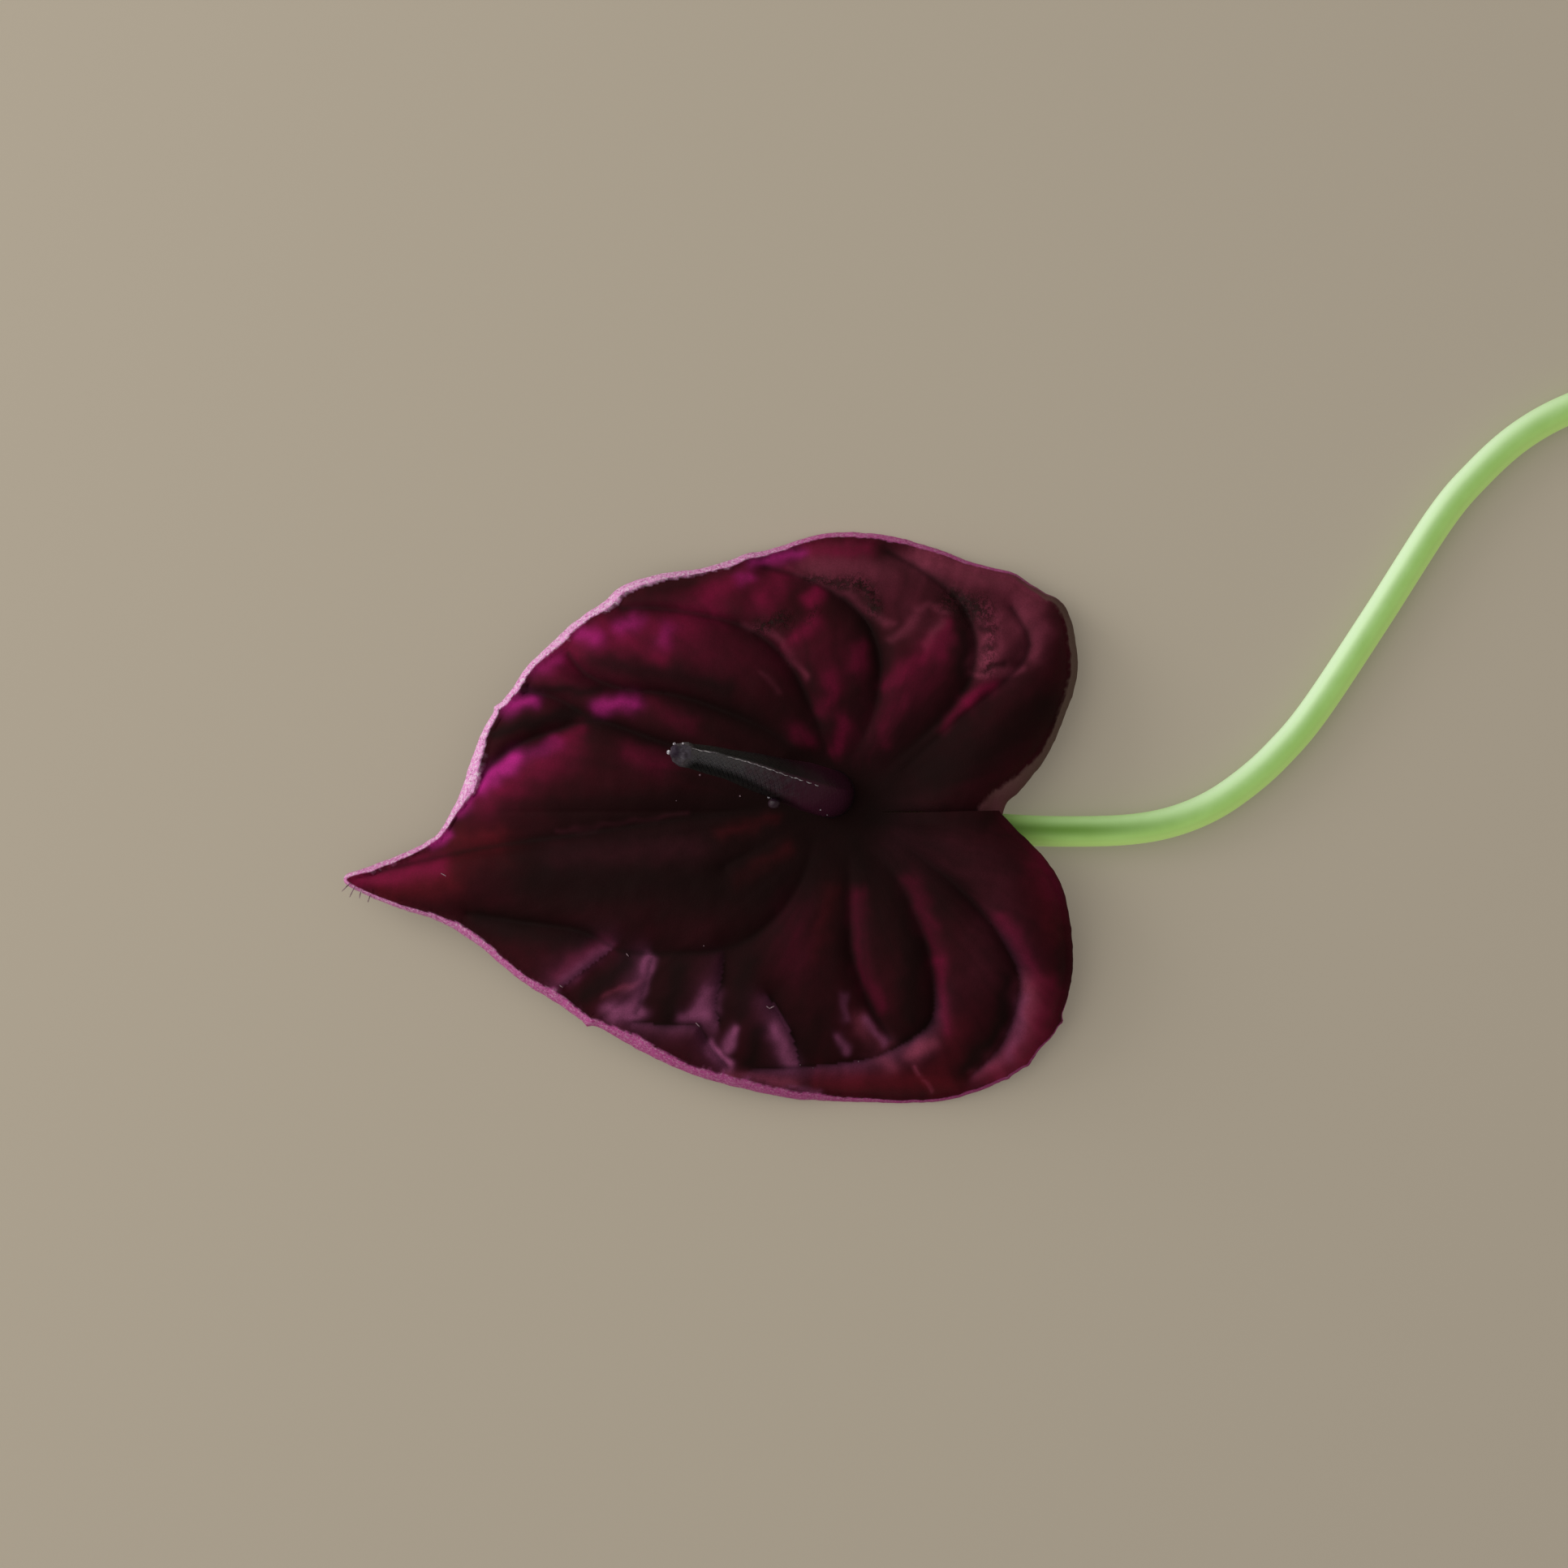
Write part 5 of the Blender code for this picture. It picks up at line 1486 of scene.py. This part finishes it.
@dataclass
class Spadix:
    """The spike of florets, each a small diamond of four lobes round a pit."""

    finish: SpadixFinish = SpadixFinish()
    base: Point3 = (-3.4, 2.8, 10.45)
    foot: float = 0.27
    route: tuple[Point3, ...] = (
        (0.0, 0.0, 0.0), (-0.6, 0.1, 3.2), (-3.6, 1.0, 8.2), (-9.2, 2.6, 14.8),
        (-15.5, 4.4, 22.0), (-22.8, 6.0, 30.0),
    )
    radii: Table = (
        (0.0, 3.45), (0.1, 3.6), (0.25, 3.6), (0.4, 3.1), (0.55, 2.7), (0.7, 2.1), (0.82, 1.95),
        (0.92, 1.65), (0.965, 1.9), (1.0, 1.3),
    )
    tip_rings: Table = ((0.86, 0.42), (0.66, 0.74), (0.42, 0.93), (0.2, 1.0))
    foot_rings: Table = ((1.05, 0.5), (1.08, 1.0), (0.6, 1.0), (0.25, 1.0))
    step: float = 0.135
    around: int = 132
    florets_round: int = 20
    floret_length: float = 1.02
    relief: float = 0.19
    # One floret, in shares of its own size
    dome_edge: Point2 = (0.34, 0.5)
    pit_reach: float = 0.15
    pit_depth: float = 0.9
    pit_rim: float = 0.6
    seam: Point2 = (0.22, 0.06)
    seam_starts: Point2 = (0.1, 0.2)
    # Shares of the spike's length between which it changes
    proud: Point2 = (0.30, 0.6)
    smooth: Point2 = (0.93, 0.97)
    torn: Point2 = (0.93, 0.985)
    shade_grows: Point2 = (0.15, 0.5)
    foot_ends: float = 0.18
    # Angles round the spike, in radians
    low_side: Point2 = (0.8, 0.65)
    band_edges: Table = ((-0.35, 0.1), (-0.05, 0.12))
    thread_rise: float = 0.19
    thread_sway: Point2 = (0.02, 0.5)
    torn_lumps: Layers = ((0.42, 1.3, 1.0), (0.25, 0.55, 2.0))
    tip_lumps: Layers = ((0.3, 0.7, 9.0),)
    tip_rise: float = 0.9
    shrunk: float = 0.3
    sap: DriedFinish = DriedFinish(
        "sap_white", pale=(0.74, 0.72, 0.80), dark=(0.16, 0.13, 0.18), cloud=(0.5, 2.0, 0.6),
        cloud_rise=(0.32, 0.62), roughness=(0.25, 0.3), specular=0.3, bump_depth=0.04,
    )
    # Turns by the share of the spike's length: where its lit band starts, and where the thread lies
    lit_from: Table = ((0.1, -85), (0.3, -66), (0.45, -50), (0.6, -36), (0.8, -26), (1.0, -24))
    thread_radius: float = 0.065
    thread_turns: Table = (
        (0.27, -3), (0.35, 0), (0.47, 3), (0.58, 9), (0.71, 17), (0.775, 18), (0.83, 25), (0.965, 25),
    )
    thread_parts: Table = (
        (0.285, 0.31), (0.325, 0.355), (0.37, 0.45), (0.453, 0.775), (0.83, 0.965),
    )
    droplet: Point3 = (0.42, -90, 0.85)
    # Sap beads by place, turn and size; the last three, at the broken tip, stand for its glints as painted
    # highlight
    sap_beads_and_tip_glints: tuple[Point3, ...] = (
        (0.445, -97, 0.20), (0.40, -112, 0.24), (0.72, -58, 0.10), (0.64, -52, 0.10),
        (0.56, -54, 0.10), (0.20, -62, 0.12), (0.12, -75, 0.10), (0.995, 178, 0.34),
        (0.99, 120, 0.22), (0.985, 60, 0.16),
    )

    def __post_init__(self) -> None:
        """Work out the spine and its two cross directions at each ring."""
        spine = smooth_route(self.route, self.step)
        along = np.gradient(spine, axis=0)
        along[0] = (0.0, 0.0, 1.0)
        self.spine = spine + self.base
        self.along = unit(along)
        self.across = unit(np.cross((0.0, 1.0, 0.0), self.along))
        self.beside = np.cross(self.along, self.across)
        self.share = np.linspace(0.0, 1.0, len(spine))

    def at(self, ring: int, turn: np.ndarray | float, rise: np.ndarray | float = 0.0) -> np.ndarray:
        """Place points round a ring of the spike.

        Args:
            ring: Which ring.
            turn: The angles round it.
            rise: How far the points stand off the plain surface.

        Returns:
            The points.
        """
        places, radii = zip(*self.radii)
        reach = np.interp(self.share[ring], places, radii) + np.asarray(rise)
        turn = np.asarray(turn)
        ray = np.multiply.outer(np.cos(turn), self.across[ring])
        ray = ray + np.multiply.outer(np.sin(turn), self.beside[ring])
        return self.spine[ring] + ray * reach[..., None]

    def florets(self, distance: float, turn: np.ndarray) -> tuple[np.ndarray, np.ndarray]:
        """Shape the florets at one distance along the spike.

        Args:
            distance: The distance from the base.
            turn: The angles round the spike.

        Returns:
            Their height from 0 to 1, and how far into a pit each point is.
        """
        lengthwise = distance / self.floret_length
        sideways = turn / math.tau * self.florets_round
        first = lengthwise + sideways
        second = lengthwise - sideways
        first = first - np.floor(first) - 0.5
        second = second - np.floor(second) - 0.5
        middle = np.hypot(first, second)
        edge = np.maximum(np.abs(first), np.abs(second))
        seam = np.minimum(np.abs(first), np.abs(second))
        dome = 1.0 - smoothstep(edge, *self.dome_edge)
        pit = hump(middle, self.pit_reach)
        depth, width = self.seam
        lobes = depth * hump(seam, width) * smoothstep(middle, *self.seam_starts)
        return dome * (1.0 - self.pit_depth * pit - lobes), pit + self.pit_rim * (1.0 - dome)

    def build(self) -> bpy.types.Object:
        """Make the spike with its florets and its broken tip.

        Returns:
            The spadix.
        """
        made = Mesh()
        turns = even_turns(self.around)
        middle, reach = self.low_side
        low_side = hump(np.mod(turns + math.pi, math.tau) - math.pi + middle, reach)
        corners, pits, pales, shades = [], [], [], []
        for ring, share in enumerate(self.share):
            height, pit = self.florets(ring * self.step, turns)
            outer = float(smoothstep(share, *self.proud)) * (1.0 - float(smoothstep(share, *self.smooth)))
            depth = self.relief * (0.35 + outer * (0.3 + low_side))
            torn = float(smoothstep(share, *self.torn))
            plain = self.at(ring, turns)
            lumps = layered(plain, self.torn_lumps)
            corners.append(self.at(ring, turns, height * depth + (lumps - self.shrunk) * torn))
            pits.append(np.clip(pit * (0.3 + outer * (0.2 + 0.6 * low_side)), 0.0, 1.0) * (1.0 - torn))
            pales.append(np.full(self.around, torn) * (0.75 + 0.25 * grain(plain, 0.9, 5.0)))
            shades.append(self.shade(share, turns) * (1.0 - torn))
        along = np.repeat(self.share, self.around)
        shade = np.concatenate(shades)
        marks = {"along": along, "pit": np.concatenate(pits), "pale": np.concatenate(pales)}
        marks |= {"shade": shade, "gloss": (1.0 - shade) * smoothstep(along, 0.4, 0.7)}
        made.add(np.vstack(corners), [], marks)
        rings = range(0, made.count, self.around)
        made.join(rings, self.around)
        self.close(made, corners[-1], rings[-1], 1.0)
        self.close(made, corners[0], 0, -1.0)
        return made.piece("spadix_spike", self.finish.material())

    def close(self, made: Mesh, edge: np.ndarray, first: int, sign: float) -> None:
        """Close one end: the broken tip bulges out, and the foot reaches down to the blade.

        Args:
            made: The mesh so far.
            edge: The end ring's points.
            first: The number of its first corner.
            sign: 1 at the tip and -1 at the base.
        """
        tip = sign > 0
        end, rise, steps = (-1, self.tip_rise, self.tip_rings) if tip else (0, self.foot, self.foot_rings)
        middle, run = self.spine[end], self.along[end] * sign
        marks = {"along": float(tip), "pale": float(tip), "shade": 0.0 if tip else 0.9}
        rings = [first]
        for part, out in steps:
            ring = middle + (edge - middle) * part
            lumps = tip * layered(ring, self.tip_lumps)
            rings.append(made.add(ring + np.outer(rise * out + lumps, run), [], marks))
        made.join(rings if tip else rings[::-1], self.around)
        centre = made.add((middle + run * rise)[None, :], [], marks)
        made.cap(rings[-1], self.around, centre, turned=not tip)

    def shade(self, share: float, turns: np.ndarray) -> np.ndarray:
        """Give the painted shade on the spike's sides: all round at its foot, and beside its lit band.

        Args:
            share: The share of the spike's length.
            turns: The angles round it.

        Returns:
            The shade at each angle.
        """
        low = math.radians(np.interp(share, *zip(*self.lit_from)))
        high = math.radians(np.interp(share, *zip(*self.thread_turns)) + 5.0)
        turned = np.mod(turns + math.pi, math.tau) - math.pi
        (low_out, low_in), (high_in, high_out) = self.band_edges
        lit = smoothstep(turned, low + low_out, low + low_in)
        lit = lit * (1.0 - smoothstep(turned, high + high_in, high + high_out))
        outer = 0.5 + 0.5 * float(smoothstep(share, *self.shade_grows))
        foot = 1.0 - float(smoothstep(share, 0.0, self.foot_ends))
        return np.maximum(0.9 * outer * (1.0 - lit), 0.6 * foot)

    def thread(self) -> bpy.types.Object:
        """Make the pale broken thread of dried sap along the upper edge.

        Returns:
            The thread.
        """
        made = Mesh()
        last = len(self.share) - 1
        reach, pace = self.thread_sway
        for start, end in self.thread_parts:
            rings = range(round(start * last), round(end * last) + 1, 2)
            turns = np.radians(np.interp([ring / last for ring in rings], *zip(*self.thread_turns)))
            turns = turns + reach * np.sin(pace * np.array(rings))
            line = np.array([self.at(ring, turn, self.thread_rise) for ring, turn in zip(rings, turns)])
            add_tube(made, line, self.thread_radius)
        return made.piece("spadix_thread", self.sap.material())

    def beads(self) -> bpy.types.Object:
        """Make the droplets of dried sap on the lower side and beside the spike, and white beads at the
        broken tip that stand for its glints, as painted highlight.

        Returns:
            The droplets, as one piece.
        """
        made = Mesh()
        last = len(self.share) - 1
        for share, turn, size in (self.droplet, *self.sap_beads_and_tip_glints):
            clear = float(size == self.droplet[2])
            place = self.at(round(share * last), math.radians(turn), (0.35 + 0.45 * clear) * size)
            add_bead(made, place, size, clear)
        return made.piece("spadix_beads_and_glints", self.sap.material())

    def dress(self) -> None:
        """Build the spike in place of its solid, with its sap."""
        for piece in (self.build(), self.thread(), self.beads()):
            wear(piece, "spadix")


@dataclass(frozen=True)
class StemFinish:
    """Smooth, waxy light green with faint lengthwise lines."""

    green: Colour = (0.340, 0.620, 0.150)
    fresh: Colour = (0.440, 0.760, 0.240)
    # Lighter green of the painted light on the lower flank
    warm: Colour = (0.560, 0.860, 0.240)
    # Pale green of the painted highlight
    bloom: Colour = (0.700, 0.930, 0.620)
    # Dark green of the painted shade along the crown
    deep: Colour = (0.112, 0.262, 0.020)
    pith: Colour = (0.620, 0.740, 0.420)
    dark: Colour = (0.0, 0.0, 0.0)
    # A faint painted light from the stem itself, as if lit through
    painted_glow: float = 0.20
    mottle: Numbers = (6.0, 3.0, 0.6)
    mottle_rise: Point2 = (0.3, 0.8)
    wax: Numbers = (3.0, 2.0)
    skin: Numbers = (1.2, 1.0)
    roughness: float = 0.30
    specular: float = 0.5
    bump_depth: float = 0.02

    def material(self) -> bpy.types.Material:
        """Grade the green along and round the stem, with painted shade on its crown, painted light on its
        lower flank and a painted highlight; a faint painted emission past the lobes stands for the light
        through it.

        Returns:
            The stem's material.
        """
        made = NodeFinish("stem_green")
        place = made.places()
        lines = made.mark("lines")
        mottle = made.noise(place, *self.mottle).rise(*self.mottle_rise)
        colour = made.mix(self.green, self.fresh, (mottle * 0.6 + lines * 0.25).held())
        for name in ("warm", "deep", "bloom", "pith"):
            colour = made.mix(colour, getattr(self, name), made.mark(name))
        roughness = self.roughness + (made.noise(place, *self.wax) - 0.5) * 0.10
        return made.dress(
            Base_Color=colour, Roughness=roughness, Specular_IOR_Level=self.specular,
            Emission_Color=made.mix(self.dark, colour, made.mark("open")), Emission_Strength=self.painted_glow,
            Normal=made.bump(lines * 0.5 + made.noise(place, *self.skin) * 0.3, self.bump_depth),
        )


@dataclass
class Stem:
    """The round S-curved stem, cut off clean at its far end."""

    finish: StemFinish = StemFinish()
    top: Point3 = (-2.7, 2.0, 9.2)
    radius: float = 2.4
    around: int = 48
    step: float = 0.6
    # The way to the light whose broad highlight is painted on the stem's upper flank
    window: Point3 = (-0.75, 0.43, 0.50)
    ripples: tuple[Point3, ...] = ((0.02, 7, 0.0), (0.012, 13, 1.0))
    inset: float = 0.03
    line_count: int = 24
    # Turn round the stem of the painted light on its lower flank, then where the painted shade lies along
    # the crown and how wide it is
    painted_lit_flank_turn: float = 5.0
    painted_shade_turn: Point2 = (98.0, 30.0)
    # Where the painted shade fades away from the flower, and where the stem comes out past the lobes
    near_flower: Point2 = (0.2, 0.34)
    past_lobes: Point2 = (18.0, 34.0)
    cut_share: float = 0.8
    # The far end's rings: their share of the cut's radius, how far they sink in and how pithy they are
    cut_rings: tuple[Point3, ...] = (
        (0.86, 0.0, 0.5), (0.72, 0.12, 1.0), (0.4, 0.22, 1.0), (0.15, 0.25, 1.0),
    )
    route: tuple[Point3, ...] = (
        (-2.7, 2.0, 8.25), (-2.2, 1.9, 6.6), (-0.3, 1.5, 5.1), (4.4, 0.4, 4.1), (13.0, -1.6, 3.2),
        (24.6, -2.8, 2.6), (34.0, -3.1, 2.4), (43.0, -2.8, 2.4), (49.6, -1.6, 2.4),
        (55.6, 0.8, 2.4), (61.0, 4.4, 2.4), (66.0, 8.9, 2.4), (71.6, 15.5, 2.4), (81.0, 29.6, 2.4),
        (91.1, 45.3, 2.4), (97.0, 52.3, 2.4), (103.5, 58.1, 2.4), (111.0, 62.3, 2.4),
        (121.0, 65.6, 2.4), (132.0, 67.3, 2.4), (143.0, 67.3, 2.4), (153.0, 65.6, 2.4),
    )

    def build(self) -> bpy.types.Object:
        """Make the stem as one closed tube.

        Returns:
            The stem.
        """
        line = np.vstack([self.top, smooth_route(self.route, self.step)])
        along = np.gradient(line, axis=0)
        along[0] = (0.0, 0.0, -1.0)
        along[-1] = line[-1] - line[-2]
        along = unit(along)
        side = np.cross(along, (0.0, 0.0, 1.0))
        side[:3] = (0.0, -1.0, 0.0)
        side = unit(side)
        crown = np.cross(side, along)
        turns = even_turns(self.around)
        ripple = sum(depth * np.sin(count * turns + start) for depth, count, start in self.ripples)
        made = Mesh()
        lines = 0.5 + 0.5 * np.sin(self.line_count * turns)
        # Painted light on the lower flank
        warm = np.clip(np.cos(turns - math.radians(self.painted_lit_flank_turn)), 0.0, 1.0) ** 1.5
        # Painted shade along the crown, strongest near the flower
        middle_turn, spread = np.radians(self.painted_shade_turn)
        crown_shade = hump(turns - middle_turn, spread)
        rings = []
        for ring, middle in enumerate(line):
            share = ring / (len(line) - 1)
            reach = self.radius - self.inset + ripple
            bevel = 1.0 if ring < len(line) - 1 else self.cut_share
            ray = np.outer(np.cos(turns), side[ring]) + np.outer(np.sin(turns), crown[ring])
            points = middle + ray * (reach * bevel)[:, None]
            near = 1.0 - float(smoothstep(share, *self.near_flower))
            clear_of_lobes = float(smoothstep(middle[0], *self.past_lobes))
            deep = (0.25 + 0.75 * near) * crown_shade
            # Painted highlight on the flank towards the light, past the lobes and weaker in the painted
            # shade
            bloom = np.clip(ray @ np.array(self.window), 0.0, 1.0) ** 3
            marks = {"lines": lines, "deep": deep, "pith": 0.0, "warm": warm}
            marks |= {"bloom": bloom * clear_of_lobes * (1.0 - 0.8 * deep), "open": clear_of_lobes}
            points[:, 2] = np.maximum(points[:, 2], 0.0)
            rings.append(made.add(points, [], marks))
        for part, sink, pith in self.cut_rings:
            points = line[-1] + ray * (self.radius * self.cut_share * part) - along[-1] * sink
            rings.append(made.add(points, [], {"lines": 0.5, "pith": pith}))
        made.join(rings, self.around)
        made.faces.append(tuple(range(rings[-1], made.count)))
        made.faces.append(tuple(range(self.around))[::-1])
        return made.piece("stem_tube", self.finish.material())

    def dress(self) -> None:
        """Build the stem in place of its solid."""
        wear(self.build(), "stem")


@dataclass
class Studio:
    """Plain table, a large and a small soft light on the left, and the camera straight above."""

    view_centre: Point2 = (-48.05, -7.9)
    view_width: float = 241.5
    view_plane: float = 6.0
    lens: float = 85.0
    sensor: float = 36.0
    floor_colour: Colour = (0.400, 0.357, 0.288)
    floor_glow: Colour = (0.116, 0.103, 0.083)
    sky_colour: Colour = (0.62, 0.58, 0.52)
    sky_strength: float = 0.465
    distance: float = 0.85
    warmth: Colour = (1.0, 0.97, 0.93)
    table_reach: float = 8.0
    # Each light's power, size, azimuth and elevation
    key: Numbers = (5.2, 1.5, 166.0, 42.0)
    glint: Numbers = (1.5, 0.40, 152.0, 24.0)

    def build(self) -> None:
        """Make the table, the light and the camera."""
        self.add_table()
        self.add_light("key", *self.key)
        self.add_light("glint", *self.glint)
        self.add_sky()
        self.add_camera()

    def add_table(self) -> None:
        """Lay a wide plain table under the flower."""
        mesh = bpy.data.meshes.new("table")
        reach = self.table_reach
        corners = [(-reach, -reach, 0.0), (reach, -reach, 0.0), (reach, reach, 0.0), (-reach, reach, 0.0)]
        mesh.from_pydata(corners, [], [(0, 1, 2, 3)])
        table = bpy.data.objects.new("table", mesh)
        bpy.context.scene.collection.objects.link(table)
        made = NodeFinish("table_plain")
        mesh.materials.append(made.dress(
            Base_Color=self.floor_colour, Roughness=0.9, Specular_IOR_Level=0.2,
            Emission_Color=self.floor_glow, Emission_Strength=1.0,
        ))

    def add_light(self, name: str, power: float, size: float, azimuth: float, elevation: float) -> None:
        """Hang a round light on the left, turned to the flower.

        Args:
            name: Its name.
            power: Its power in watts.
            size: Its diameter in metres.
            azimuth: Which way it lies, in degrees.
            elevation: How high it hangs, in degrees.
        """
        turn, rise = math.radians(azimuth), math.radians(elevation)
        ray = Vector((math.cos(turn) * math.cos(rise), math.sin(turn) * math.cos(rise), math.sin(rise)))
        light = bpy.data.lights.new(name, "AREA")
        light.shape = "DISK"
        light.size = size
        light.energy = power
        light.color = self.warmth
        lamp = bpy.data.objects.new(name, light)
        lamp.location = Vector((FLOWER_PLACE[0] * MM, FLOWER_PLACE[1] * MM, 0.0)) + ray * self.distance
        lamp.rotation_euler = ray.to_track_quat("Z", "Y").to_euler()
        bpy.context.scene.collection.objects.link(lamp)

    def add_sky(self) -> None:
        """Fill the shadows with an even light."""
        world = bpy.data.worlds.new("room")
        world.use_nodes = True
        ground = world.node_tree.nodes["Background"]
        ground.inputs["Color"].default_value = (*self.sky_colour, 1.0)
        ground.inputs["Strength"].default_value = self.sky_strength
        bpy.context.scene.world = world

    def add_camera(self) -> None:
        """Look straight down with the photograph's framing."""
        lens = bpy.data.cameras.new("camera")
        lens.lens = self.lens
        lens.sensor_width = self.sensor
        lens.clip_start = 0.01
        camera = bpy.data.objects.new("camera", lens)
        height = self.view_width * self.lens / self.sensor + self.view_plane
        camera.location = Vector((*self.view_centre, height)) * MM
        bpy.context.scene.collection.objects.link(camera)
        bpy.context.scene.camera = camera
        bpy.context.scene.view_settings.view_transform = "Standard"


def main() -> None:
    """Build the pieces in order, from the table up."""
    logging.basicConfig(level=logging.INFO, format="%(message)s")
    for part in (Stem(), Spathe(), Spadix()):
        part.dress()
    Studio().build()


if __name__ == "__main__":
    main()
